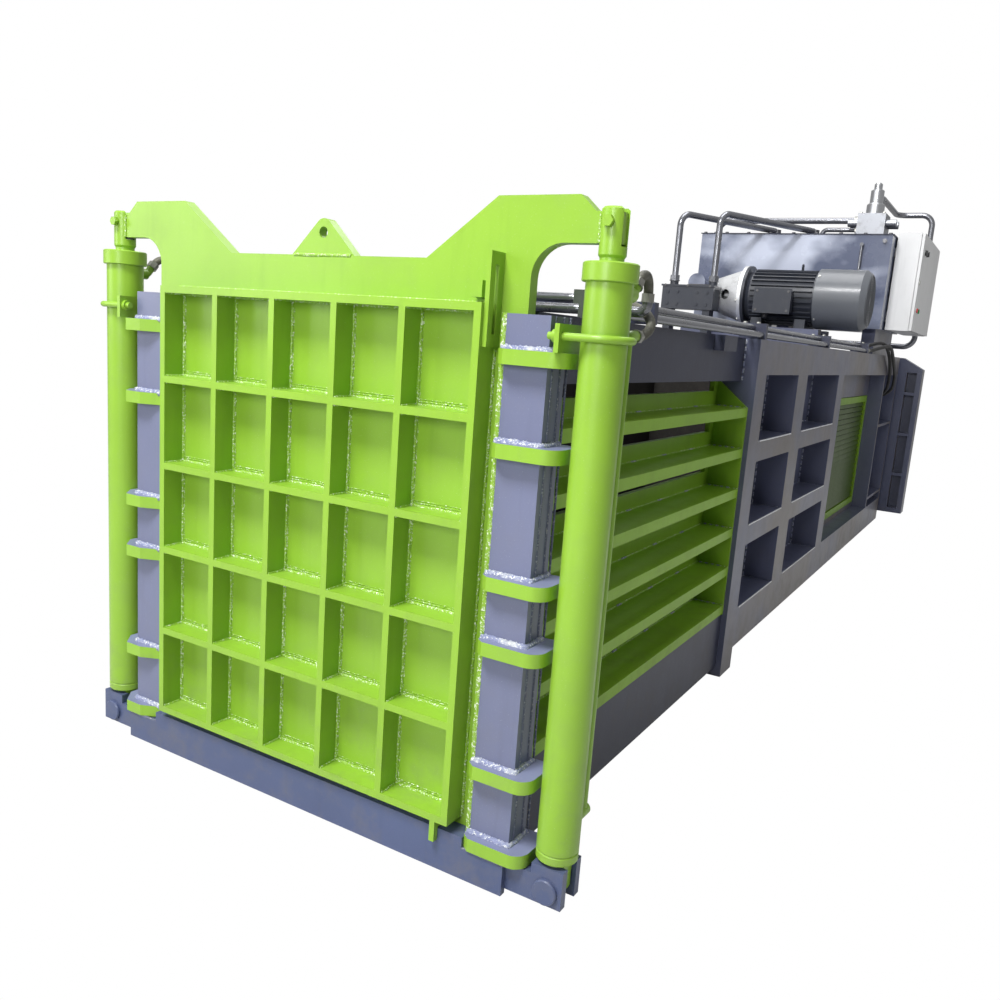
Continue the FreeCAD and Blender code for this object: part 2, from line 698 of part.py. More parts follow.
def make_sill():
    """Front sill with a step down at each end for the guide columns and their lowest lugs."""
    sill_back = guide_back
    face_back = front + d.sill_front + d.sill_plate
    middle = block(
        "sill_middle", (-d.guide_inner, d.guide_inner), (front + d.sill_front, chamber_front), (0, d.sill_height)
    )
    ledge = block(
        "sill_ledge", (-chamber_outer, chamber_outer), (chamber_front, sill_back), (0, d.sill_height)
    )
    face = block(
        "sill_face", (-d.sill_half, d.sill_half), (front + d.sill_front, face_back), (0, d.guide_foot)
    )
    beam = block("sill_beam", (-d.sill_half + 84, d.sill_half - 84), (face_back, sill_back), (0, d.guide_foot))
    keep(joined("sill", [middle, ledge, face, beam]), "front_sill")

    # Two plates each side carry the cylinder's foot eye between them on a pin.
    eye_half = d.eye_width / 2
    start = d.sill_half - 84
    corners = [
        (start, d.foot_plate_base),
        (d.foot_plate_end, d.foot_plate_base),
        (d.foot_plate_end, d.foot_plate_top),
        (d.lug_outer + 17, d.foot_plate_top),
        (d.lug_outer + 17, d.guide_foot),
        (start, d.guide_foot),
    ]
    hole = [((d.cylinder_x, d.pin_height), d.pin_radius)]
    faces = (cylinder_y - eye_half - d.pin_gap - d.foot_plate, cylinder_y + eye_half + d.pin_gap)
    plates = [
        plate(f"foot_plate_{index}", "XZ", corners, d.foot_plate, y=face, holes=hole)
        for index, face in enumerate(faces)
    ]
    keep(both("foot", plates), "foot_plates")

    pins = []
    for side, label in ((1, "right"), (-1, "left")):
        pin = turned(
            f"{label}_foot_pin",
            "YZ",
            [
                (0, 0),
                (0, d.pin_head_radius - 3),
                (3, d.pin_head_radius),
                (10, d.pin_head_radius),
                (10, d.pin_radius),
                (10 + (faces[1] + d.foot_plate + 12) - faces[0], d.pin_radius),
                (10 + (faces[1] + d.foot_plate + 12) - faces[0], 0),
            ],
            x=side * d.cylinder_x,
            y=faces[0] - 10,
            z=d.pin_height,
        )
        pins.append(pin)
    keep(group("foot_pins", pins), "cylinder_foot_pins")


def make_guides():
    """Laminated guide columns that the gate slides in, with their wrapped lug plates."""
    spacer = d.gate_half_width + d.gate_edge_gap
    column = plate(
        "guide",
        "XY",
        [
            (d.guide_inner, guide_front),
            (d.guide_outer, guide_front),
            (d.guide_outer, guide_back),
            (chamber_outer, guide_back),
            (chamber_outer, chamber_front),
            (spacer, chamber_front),
            (spacer, gate_front - d.gate_clearance),
            (d.guide_inner, gate_front - d.gate_clearance),
        ],
        d.guide_top - d.guide_foot,
        z=d.guide_foot,
    )
    keep(both("guide", [column]), "guide_columns")

    heights = (d.lug_1, d.lug_2, d.lug_3, d.lug_4, d.lug_5, d.lug_6)
    near = front + d.lug_front
    right_corners = [
        (d.guide_inner, guide_front),
        (d.guide_inner, near + 16),
        (d.guide_inner + 20, near),
        (d.lug_outer, near),
        (d.lug_outer, front + d.lug_rear),
        (d.guide_outer, front + d.lug_rear),
        (d.guide_outer, guide_front),
    ]
    left_corners = [
        (-d.guide_inner - 2, guide_front),
        (-d.guide_inner - 70, near),
        (-d.lug_outer + 44, near),
        (-d.lug_outer, near + 48),
        (-d.lug_outer, front + d.lug_rear),
        (-d.guide_outer, front + d.lug_rear),
        (-d.guide_outer, guide_front),
    ]
    right_lugs, left_lugs = [], []
    for index, top in enumerate(heights):
        base = top - d.lug_thick
        lug = plate(f"right_lug_{index}", "XY", right_corners, d.lug_thick, z=base)
        right_lugs.append(round_corners(lug, right_corners[3:4], d.lug_round, plane="XY"))
        left_lugs.append(plate(f"left_lug_{index}", "XY", left_corners, d.lug_thick, z=base))
    keep(group("lugs", right_lugs + left_lugs), "column_lugs")


def make_gate_cylinders():
    """Barrels with their foot eyes, gland caps, and the hoops that tie them to the columns."""
    bottom = d.barrel_base + 45
    barrel = turned(
        "barrel_turning",
        "XZ",
        [
            (0, d.barrel_base),
            (d.barrel_radius - 4, d.barrel_base),
            (d.barrel_radius, d.barrel_base + 4),
            (d.barrel_radius, d.barrel_base + 22),
            (d.barrel_radius - 2.5, d.barrel_base + 25),
            (d.barrel_radius, d.barrel_base + 28),
            (d.barrel_radius, d.barrel_top),
            (d.bore_radius, d.barrel_top),
            (d.bore_radius, bottom),
            (0, bottom),
        ],
        x=d.cylinder_x,
        y=cylinder_y,
    )
    port_x = d.cylinder_x + d.port_shift
    eye_round = 33
    eye = joined(
        "foot_eye",
        [
            round_bar(
                "eye_boss",
                eye_round,
                d.eye_width,
                d.cylinder_x,
                cylinder_y - d.eye_width / 2,
                d.pin_height,
                axis="Y",
            ),
            block(
                "eye_neck",
                (d.cylinder_x - eye_round, d.cylinder_x + eye_round),
                (cylinder_y - d.eye_width / 2, cylinder_y + d.eye_width / 2),
                (d.pin_height, d.barrel_base),
            ),
        ],
    )
    eye_hole = round_bar(
        "eye_hole",
        d.pin_radius,
        d.eye_width + 20,
        d.cylinder_x,
        cylinder_y - d.eye_width / 2 - 10,
        d.pin_height,
        axis="Y",
    )
    ports = []
    for index, (height, reach) in enumerate(((d.port_high, d.port_reach - 14), (d.port_low, d.port_reach))):
        ports.append(round_bar(f"port_{index}", d.port_radius, reach, port_x, cylinder_y, height, axis="Y"))
    # A bent stub on the upper port, and a pipe up from the lower one that turns back over the hoop.
    line_y = cylinder_y + d.port_reach - d.port_radius
    stub_y = cylinder_y + d.port_reach - 11.5
    elbow_z = d.hoop_height + d.elbow_over
    stub = [
        (port_x, cylinder_y + 60, d.port_high),
        (port_x, stub_y, d.port_high),
        (port_x, stub_y + 16, d.port_high + 20),
    ]
    down = [(port_x, line_y, d.port_low), (port_x, line_y, elbow_z), (port_x, line_y + d.elbow_out, elbow_z)]
    ports.append(bars("port_stub", [swept(stub, d.hose_radius, 20)]))
    ports.append(bars("down_pipe", [swept(down, d.gate_pipe_radius, 22)]))
    port_bore = round_bar(
        "barrel_bore", d.bore_radius, d.barrel_top - bottom, d.cylinder_x, cylinder_y, bottom
    )
    whole = joined("barrel_whole", [barrel, eye] + ports)
    keep(both("barrel", [cut("barrel_bored", whole, [eye_hole, port_bore])]), "gate_cylinders")

    caps = []
    for side, label in ((1, "right"), (-1, "left")):
        bore = d.rod_radius + d.pin_clearance
        cap_top = d.barrel_top + d.cap_height
        caps.append(
            turned(
                f"{label}_cap",
                "XZ",
                [
                    (bore, d.barrel_top),
                    (d.cap_radius - 2, d.barrel_top),
                    (d.cap_radius, d.barrel_top + 2),
                    (d.cap_radius, cap_top - 3),
                    (d.cap_radius - 3, cap_top),
                    (bore, cap_top),
                ],
                x=side * d.cylinder_x,
                y=cylinder_y,
            )
        )
    keep(group("caps", caps), "gland_caps")

    # Round-bar hoops: two legs through the bracket plate, nuts on its inner side.
    bar_line = d.barrel_radius + d.hoop_bar + 0.3
    inner = d.hoop_plate_x
    shapes = []
    for side in (1, -1):
        points = []
        leg = number(d.cylinder_x)
        centre = Vector(side * leg, number(cylinder_y), number(d.hoop_height))
        reach = number(bar_line)
        near_leg = centre + Vector(0, -reach, 0)
        far_leg = centre + Vector(0, reach, 0)
        end = Vector(side * (number(inner) - 24), 0, number(d.hoop_height))
        start, finish = Vector(end.x, near_leg.y, end.z), Vector(end.x, far_leg.y, end.z)
        edges = [
            Part.LineSegment(start, near_leg).toShape(),
            Part.Arc(near_leg, centre + Vector(side * reach, 0, 0), far_leg).toShape(),
            Part.LineSegment(far_leg, finish).toShape(),
        ]
        circle = Part.Circle(start, near_leg - start, number(d.hoop_bar))
        shapes.append(Part.Wire(edges).makePipeShell([Part.Wire(circle.toShape())], True, False))
        for spot in (start, finish):
            nut = Part.makeCylinder(
                15, 11, Vector(side * (number(inner) - 11), spot.y, spot.z), Vector(side, 0, 0)
            )
            hole = Part.makeCylinder(
                number(d.hoop_bar), 11, Vector(side * (number(inner) - 11), spot.y, spot.z), Vector(side, 0, 0)
            )
            shapes.append(nut.cut(hole))
    keep(bars("hoops", shapes), "cylinder_hoops")

    half = bar_line + 20
    hoop_top = d.hoop_height + d.hoop_plate_height / 2
    bracket = block(
        "hoop_plate", (inner, inner + d.hoop_plate), (cylinder_y - half, cylinder_y + half), (d.lug_6, hoop_top)
    )
    holes = [
        round_bar(f"hoop_hole_{step}", d.hoop_bar, d.hoop_plate + 20, inner - 10, y, d.hoop_height, axis="X")
        for step, y in enumerate((cylinder_y - bar_line, cylinder_y + bar_line))
    ]
    keep(both("hoop_bracket", [cut("hoop_drilled", bracket, holes)]), "hoop_brackets")


def make_chamber():
    """Floor, roof and the slotted side walls with their lipped shelves."""
    length = (chamber_front, crosshead_front)
    floor = block("floor", (-chamber_outer, chamber_outer), length, (d.sill_height, floor_top))
    keep(floor, "floor_plate")

    roof = block(
        "roof_sheet", (-chamber_outer, chamber_outer), (guide_back, post_front), (d.roof_height, roof_top)
    )
    ribs = [
        block(
            f"roof_rib_{step}",
            (-d.chamber_half, d.chamber_half),
            (guide_back + 180 + 380 * step, guide_back + 200 + 380 * step),
            (roof_top, d.frame_top),
        )
        for step in range(5)
    ]
    keep(group("roof_set", [roof] + ribs), "chamber_roof")

    shelves = int(number(d.shelf_count))
    # Each wall is built up of planks with a tie slot between them, closed by a post at each end.
    deep = (d.chamber_half, chamber_outer)
    inside = (chamber_front + d.wall_post, post_front - d.wall_post)
    highest = d.shelf_top + d.shelf_pitch - d.shelf_plate - d.slot_drop
    slot_tops = [highest - step * d.shelf_pitch for step in range(shelves)]
    edges = [d.roof_height]
    for top in slot_tops:
        edges += [top, top - d.tie_slot]
    edges.append(floor_top)
    wall = [
        block(f"plank_{step}", deep, inside, (edges[2 * step + 1], edges[2 * step]))
        for step in range(shelves + 1)
    ]
    height = (floor_top, d.roof_height)
    wall.append(block("wall_post_front", deep, (chamber_front, inside[0]), height))
    wall.append(block("wall_post_rear", deep, (inside[1], post_front), height))
    keep(both("wall", wall), "chamber_walls")

    out = d.shelf_outer - chamber_outer
    end_thick = 14
    reach = post_front - guide_back - end_thick
    ledges = []
    for step in range(shelves):
        top = d.shelf_top - step * d.shelf_pitch
        ledge = plate(
            f"shelf_{step}",
            "XZ",
            [
                (0, top - d.shelf_plate),
                (out - d.shelf_plate, top - d.shelf_plate),
                (out - d.shelf_plate, top - d.shelf_lip),
                (out, top - d.shelf_lip),
                (out, top),
                (0, top),
            ],
            reach,
            x=chamber_outer,
            y=guide_back,
        )
        ledges.append(ledge)
    ending = plate(
        "shelf_end",
        "XZ",
        [
            (chamber_outer, d.lower_beam_top),
            (d.shelf_outer, d.lower_beam_top),
            (d.shelf_outer, d.shelf_top),
            (chamber_outer, d.upper_beam_base),
        ],
        end_thick,
        y=post_front - end_thick,
    )
    keep(both("shelf_set", ledges + [ending]), "wall_shelves")

    upper = block(
        "beam_upper", (chamber_outer, d.upper_beam_x), (guide_back, post_front), (d.upper_beam_base, d.frame_top)
    )
    tab = block(
        "beam_tab",
        (d.upper_beam_x, d.upper_beam_x + 40),
        (post_front - 419, post_front - 257),
        (d.frame_top - 58, d.frame_top),
    )
    keep(both("beam_upper", [upper, tab]), "upper_beams")
    clear = cylinder_y + d.eye_width / 2 + d.pin_gap + d.foot_plate + 4 - guide_back
    long = post_front - guide_back
    lower = plate(
        "beam_lower",
        "YZ",
        [
            (0, d.guide_foot),
            (clear, d.guide_foot),
            (clear, d.lower_beam_base),
            (long, d.lower_beam_base),
            (long, d.lower_beam_top),
            (0, d.lower_beam_top),
        ],
        d.lower_beam_x - chamber_outer,
        x=chamber_outer,
        y=guide_back,
    )
    keep(both("beam_lower", [lower]), "lower_beams")


def make_side_frames():
    """Box-section posts and rails round the windows, the access bay and the rear post."""
    deep = (press_outer, d.frame_half)
    length = (post_back, frame_rear)
    upright = (bottom_rail_top, top_rail_base)
    low = (d.low_rail_base, d.low_rail_base + d.low_rail)
    high = (d.high_rail_base, d.high_rail_base + d.high_rail)
    first = (post_back, second_front)
    second = (second_back, third_front)
    flange = d.rear_flange
    pieces = [
        block("post_front", deep, (post_front, post_back), (0, d.frame_top)),
        block("rail_bottom", deep, length, (d.frame_base, bottom_rail_top)),
        block("rail_top", deep, length, (top_rail_base, d.frame_top)),
        block("post_second", deep, (second_front, second_back), upright),
        block("post_third", deep, (third_front, third_back), upright),
        block("rail_low_one", deep, first, low),
        block("rail_high_one", deep, first, high),
        block("rail_low_two", deep, second, low),
        block("rail_high_two", deep, second, high),
        block("rear_flange_front", deep, (bay_back, bay_back + flange), upright),
        block("rear_flange_back", deep, (frame_rear - flange, frame_rear), upright),
    ]
    gap = d.door_gap
    strip = (press_outer, d.door_face - 2)
    bay = (third_back, bay_back)
    pieces += [
        block("bay_head", strip, bay, (d.door_top + gap, top_rail_base)),
        block("bay_foot", strip, bay, (bottom_rail_top, d.door_base - gap)),
    ]
    for step, height in enumerate((360, 936)):
        pieces.append(
            block(
                f"rear_shelf_{step}",
                deep,
                (bay_back + flange, frame_rear - flange),
                (bottom_rail_top + height - 300, bottom_rail_top + height - 280),
            )
        )
    right = keep(group("frame_right", pieces), "right_side_frame")
    keep(mirrored("frame_left", right), "left_side_frame")

    # Press walls with a hole behind each access bay.
    deep = (d.chamber_half, press_outer)
    base = d.door_base + d.door_bar
    top = d.door_top - d.door_bar
    start = third_back + d.hole_margin
    end = bay_back - d.hole_margin
    wall = [
        block("press_wall_front", deep, (post_front, start), (floor_top, roof_top)),
        block("press_wall_rear", deep, (end, crosshead_front), (floor_top, roof_top)),
        block("press_wall_foot", deep, (start, end), (floor_top, base)),
        block("press_wall_head", deep, (start, end), (top, roof_top)),
    ]
    keep(both("press_wall", wall), "press_walls")

    feed_back = post_back + d.feed_long
    rear_roof = block(
        "rear_roof_sheet", (-d.chamber_half, d.chamber_half), (feed_back, frame_rear), (d.roof_height, roof_top)
    )
    rim_front = block(
        "feed_knife", (-d.chamber_half, d.chamber_half), (post_front, post_back), (d.roof_height, d.frame_top)
    )
    rim_back = block(
        "feed_bar", (-d.chamber_half, d.chamber_half), (feed_back, feed_back + 40), (roof_top, d.frame_top)
    )
    keep(group("rear_roof_set", [rear_roof, rim_front, rim_back]), "rear_roof")

    beams = []
    places = (post_front, second_front, bay_back)
    for step, y in enumerate(places):
        beams.append(
            block(f"foot_beam_{step}", (-chamber_outer, chamber_outer), (y, y + 150), (0, d.sill_height))
        )
    keep(group("foot_beams_set", beams), "foot_beams")

    cover = block(
        "bay_cover",
        (-d.door_face, -press_outer),
        (third_back + 3, bay_back - 3),
        (d.door_base - gap + 0.3, d.door_top + gap - 0.3),
    )
    keep(cover, "left_bay_cover")


def make_access_door():
    """Slatted access door on lift-off hinges at the third post."""
    inner = d.door_face - d.door_thick
    start = third_back + 15
    end = bay_back - d.door_gap
    long = end - start
    base, top = d.door_base, d.door_top
    bar = d.door_bar
    body = new_body("door_frame")
    sketch = sketch_on(body, "YZ")
    outline(sketch, [(0, base), (long, base), (long, top), (0, top)])
    outline(sketch, [(bar, base + bar), (long - bar, base + bar), (long - bar, top - bar), (bar, top - bar)])
    pad(body, sketch, d.door_thick)
    place(body, inner, start)

    slats = int(number(d.slat_count))
    pitch = (top - base - bar * 2) / slats
    louvres = []
    for step in range(slats):
        z = base + bar + pitch * step
        louvres.append(
            plate(
                f"slat_{step}",
                "XZ",
                [(0, z + pitch), (4, z + pitch), (14, z + pitch * 0.2), (10, z + pitch * 0.2)],
                long - bar * 2,
                x=inner + 8,
                y=start + bar,
            )
        )
    axis_x = d.door_face + d.hinge_radius
    axis_y = third_back + 12
    leaves = []
    fixed = []
    spots = (base + 120, top - 120 - d.hinge_high * 2)
    for step, z in enumerate(spots):
        low, middle, high = z, z + d.hinge_high, z + d.hinge_high * 2
        sleeve = round_bar(f"sleeve_{step}", d.hinge_radius, d.hinge_high - 0.5, axis_x, axis_y, middle + 0.5)
        leaf = block(
            f"leaf_{step}", (d.door_face, d.door_face + 6), (axis_y, start + 40), (middle + 0.5, high)
        )
        bore = round_bar(
            f"sleeve_bore_{step}", d.hinge_pin + d.pin_clearance, d.hinge_high + 20, axis_x, axis_y, middle - 10
        )
        leaves.append(cut(f"sleeve_cut_{step}", joined(f"sleeve_leaf_{step}", [sleeve, leaf]), [bore]))
        knuckle = round_bar(f"knuckle_{step}", d.hinge_radius, d.hinge_high, axis_x, axis_y, low)
        arm = block(f"arm_{step}", (axis_x - 6, axis_x + 6), (third_back, axis_y), (low, middle))
        pin = round_bar(f"pin_{step}", d.hinge_pin, d.hinge_high * 2 - 4, axis_x, axis_y, low)
        fixed.append(joined(f"fixed_hinge_{step}", [knuckle, arm, pin]))
    keep(joined("door_whole", [body] + louvres + leaves), "access_door")
    keep(group("hinge_set", fixed), "access_door_hinges")


def make_ram():
    """Rear crosshead, main cylinder, its rod and the skirted ram."""
    wide = d.crosshead_half
    top = d.frame_top
    slab = plate(
        "crosshead_slab",
        "XZ",
        [
            (-wide, d.crosshead_base),
            (wide, d.crosshead_base),
            (wide, top - 90),
            (d.frame_half, top),
            (-d.frame_half, top),
            (-wide, top - 90),
        ],
        d.crosshead_thick,
        y=crosshead_front,
        holes=[((0, d.main_height), d.main_radius)],
    )
    pockets = []
    heights = (d.crosshead_base + 40, 480, 830, 1180, top - 120)
    for side in (1, -1):
        x = (side * (d.frame_half + 45), side * (wide - 40))
        x = x if side > 0 else (x[1], x[0])
        for step, (low, high) in enumerate(zip(heights, heights[1:])):
            pockets.append(
                block(
                    f"pocket_{side}_{step}",
                    x,
                    (crosshead_front - 10, crosshead_front + d.crosshead_thick * 0.6),
                    (low, high - 24 if step < 3 else high),
                )
            )
    keep(cut("crosshead", slab, pockets), "rear_crosshead")

    main_y = ram_rest_y + d.main_lead
    back = rear - d.main_proud
    total = back - main_y
    barrel = turned(
        "main_barrel",
        "YZ",
        [
            (0, d.main_rod + d.pin_clearance),
            (0, d.main_radius + 12),
            (70, d.main_radius + 12),
            (70, d.main_radius),
            (total, d.main_radius),
            (total, 0),
            (total - d.main_end, 0),
            (total - d.main_end, d.main_bore),
            (60, d.main_bore),
            (60, d.main_rod + d.pin_clearance),
        ],
        y=main_y,
        z=d.main_height,
    )
    keep(barrel, "main_cylinder")

    ram_y = ram_rest_y
    rod_start = ram_y + d.ram_face
    rod_end = back - d.main_end - d.piston_back - d.piston_long - rod_start
    rod = turned(
        "main_rod_turning",
        "YZ",
        [
            (0, 0),
            (0, d.main_rod + 30),
            (30, d.main_rod + 30),
            (30, d.main_rod),
            (rod_end, d.main_rod),
            (rod_end, d.main_bore - d.pin_clearance),
            (rod_end + d.piston_long, d.main_bore - d.pin_clearance),
            (rod_end + d.piston_long, 0),
        ],
        y=rod_start,
        z=d.main_height,
    )
    keep(rod, "main_rod")

    half = d.chamber_half - d.ram_gap
    low = floor_top + d.ram_gap
    high = d.roof_height - d.ram_gap
    end = crosshead_front - d.ram_end_gap
    skirt = d.ram_skirt
    face = block("ram_face", (-half, half), (ram_y, rod_start), (low, high))
    lid = block("ram_lid", (-half, half), (rod_start, end), (high - skirt, high))
    sides = [
        block("ram_side_right", (half - skirt, half), (rod_start, end), (low, high - skirt)),
        block("ram_side_left", (-half, -half + skirt), (rod_start, end), (low, high - skirt)),
    ]
    shoes = [
        block("shoe_right", (half - 120, half - skirt), (rod_start, end), (low, low + 30)),
        block("shoe_left", (-half + skirt, -half + 120), (rod_start, end), (low, low + 30)),
    ]
    keep(group("ram_box", [face, lid] + sides + shoes), "ram")


def make_motor():
    """Finned motor with cowl, rotor, terminal box, bell housing, pump and stool."""
    y = motor_line
    z = motor_axis
    bore = d.shaft_radius + d.pin_clearance
    left, right = d.motor_left, d.motor_right
    body = turned(
        "motor_turning",
        "XY",
        [
            (left - d.flange_thick, bore),
            (left - d.flange_thick, d.flange_radius),
            (left, d.flange_radius),
            (left, d.motor_radius - 10),
            (left + 25, d.motor_radius),
            (right - 25, d.motor_radius),
            (right - 12, d.motor_radius - 10),
            (right - 12, d.cowl_radius - d.cowl_wall),
            (right, d.cowl_radius - d.cowl_wall),
            (right, bore),
        ],
        y=y,
        z=z,
    )
    fins = []
    count = int(number(d.fin_count))
    for step in range(count):
        fin = doc.addObject("Part::Box", f"fin_{step}")
        bind(fin, "Length", right - left - 70)
        bind(fin, "Width", 5)
        bind(fin, "Height", d.fin_height + 6)
        turn = Rotation(Vector(1, 0, 0), 360 / count * step)
        shift = turn.multVec(Vector(0, -2.5, number(d.motor_radius) - 6))
        fin.Placement = Placement(Vector(), turn)
        place(fin, left + 35, y + shift.y, z + shift.z)
        fins.append(fin)
    feet = []
    stool_top = z - d.motor_foot
    for step, x in enumerate((left + 60, right - 130)):
        feet.append(
            block(f"motor_foot_{step}", (x, x + 70), (y - 150, y + 150), (stool_top, z - d.motor_radius + 25))
        )
    eye_x = (left + right) / 2 + 90
    ring_part = doc.addObject("Part::Torus", "motor_eye")
    bind(ring_part, "Radius1", 16)
    bind(ring_part, "Radius2", 5)
    ring_part.Placement = Placement(Vector(), Rotation(Vector(0, 1, 0), 90))
    place(ring_part, eye_x, y, z + d.motor_radius + 38)
    stem = round_bar("eye_stem", 9, 30, eye_x, y, z + d.motor_radius - 4)
    keep(joined("motor", [body] + fins + feet + [ring_part, stem]), "motor_body")

    wall = d.cowl_wall
    cowl = turned(
        "cowl_turning",
        "XY",
        [
            (right - 20, d.cowl_radius - wall),
            (right - 20, d.cowl_radius),
            (d.cowl_end - 36, d.cowl_radius),
            (d.cowl_end, d.cowl_radius - 26),
            (d.cowl_end, 0),
            (d.cowl_end - wall, 0),
            (d.cowl_end - wall, d.cowl_radius - 26 - wall),
            (d.cowl_end - 36 - wall, d.cowl_radius - wall),
        ],
        y=y,
        z=z,
    )
    tools = []
    for step in range(12):
        turn = Rotation(Vector(1, 0, 0), 30 * step)
        slot = doc.addObject("Part::Box", f"cowl_slot_{step}")
        bind(slot, "Length", 20)
        bind(slot, "Width", 16)
        bind(slot, "Height", 100)
        shift = turn.multVec(Vector(0, -8, 50))
        slot.Placement = Placement(Vector(), turn)
        tools.append(place(slot, d.cowl_end - 12, y + shift.y, z + shift.z))
    keep(cut("cowl", cowl, tools), "fan_cowl")

    start = d.bell_end - 15
    shaft = round_bar("shaft", d.shaft_radius, right + 90 - start, start, y, z, axis="X")
    hub = round_bar("fan_hub", 52, 60, right + 25, y, z, axis="X")
    coupling = round_bar("coupling", 62, 120, left - d.flange_thick - 150, y, z, axis="X")
    blades = []
    for step in range(7):
        turn = Rotation(Vector(1, 0, 0), 360 / 7 * step)
        blade = doc.addObject("Part::Box", f"blade_{step}")
        bind(blade, "Length", 55)
        bind(blade, "Width", 5)
        bind(blade, "Height", d.cowl_radius - 75)
        shift = turn.multVec(Vector(0, -2.5, 45))
        blade.Placement = Placement(Vector(), turn)
        blades.append(place(blade, right + 28, y + shift.y, z + shift.z))
    keep(joined("rotor", [shaft, hub, coupling] + blades), "motor_rotor")

    flange_x = left - d.flange_thick
    shell = 12
    bell = turned(
        "bell_turning",
        "XY",
        [
            (d.bell_end, d.shaft_radius + 12),
            (d.bell_end, d.bell_radius),
            (flange_x - 22, d.flange_radius - 22),
            (flange_x - 22, d.flange_radius),
            (flange_x, d.flange_radius),
            (flange_x, d.flange_radius - 22 - shell),
            (flange_x - 22, d.flange_radius - 22 - shell),
            (d.bell_end + 20, d.bell_radius - shell),
            (d.bell_end + 20, d.shaft_radius + 12),
        ],
        y=y,
        z=z,
    )
    window = round_bar("bell_window", 34, 500, (d.bell_end + flange_x) / 2 - 10, y - 250, z, axis="Y")
    keep(cut("bell", bell, [window]), "bell_housing")

    pump_end = d.bell_end
    pump_port = d.pump_radius + 13
    pump_x = pump_end - 120
    pump = joined(
        "pump_set",
        [
            round_bar("pump_ports", d.suction_radius + 4, pump_port, pump_x, y, z - 20, axis="Y"),
            round_bar("pump_outlet", d.pipe_radius + 6, pump_port, pump_x, y - pump_port, z - 20, axis="Y"),
            round_bar("pump_flange", 95, 22, pump_end - 22, y, z, axis="X"),
            round_bar("pump_barrel", d.pump_radius, 190, pump_end - 212, y, z, axis="X"),
            round_bar("pump_cap", 60, 30, pump_end - 242, y, z, axis="X"),
        ],
    )
    pump_socket = round_bar("pump_socket", bore, 40, pump_end - 20, y, z, axis="X")
    keep(cut("pump_bored", pump, [pump_socket]), "pump")

    box_x = (8, 236)
    box_face = y - d.motor_radius - 92
    terminal = plate(
        "terminal_case",
        "XZ",
        [
            (box_x[0], z - 112),
            (box_x[1], z - 112),
            (box_x[1], z + 36),
            (box_x[0], z + 36),
        ],
        d.motor_radius + 92 - d.motor_radius * 0.75,
        y=box_face,
    )
    corners = [(x, z + rise) for x in box_x for rise in (-112, 36)]
    round_corners(terminal, corners, 16)
    lid_plate = block("terminal_lid", (0, 244), (box_face - 12, box_face), (z - 120, z + 44))
    core = round_bar("terminal_core", d.motor_radius + d.fin_height + 1, 400, -50, y, z, axis="X")
    keep(cut("terminal", joined("terminal_whole", [terminal, lid_plate]), [core]), "terminal_box")

    rails = [
        block(
            f"stool_rail_{step}",
            (d.stool_left, d.motor_right + 40),
            (y + offset - d.stool_rail / 2, y + offset + d.stool_rail / 2),
            (roof_top, stool_top),
        )
        for step, offset in enumerate((-d.stool_spread, d.stool_spread))
    ]
    reach = d.stool_spread - d.stool_rail / 2
    ties = [
        block(f"stool_tie_{step}", (x, x + 60), (y - reach, y + reach), (roof_top, stool_top - 30))
        for step, x in enumerate((d.stool_left + 20, d.motor_left - 5, d.motor_right - 65))
    ]
    keep(group("stool", rails + ties), "motor_stool")


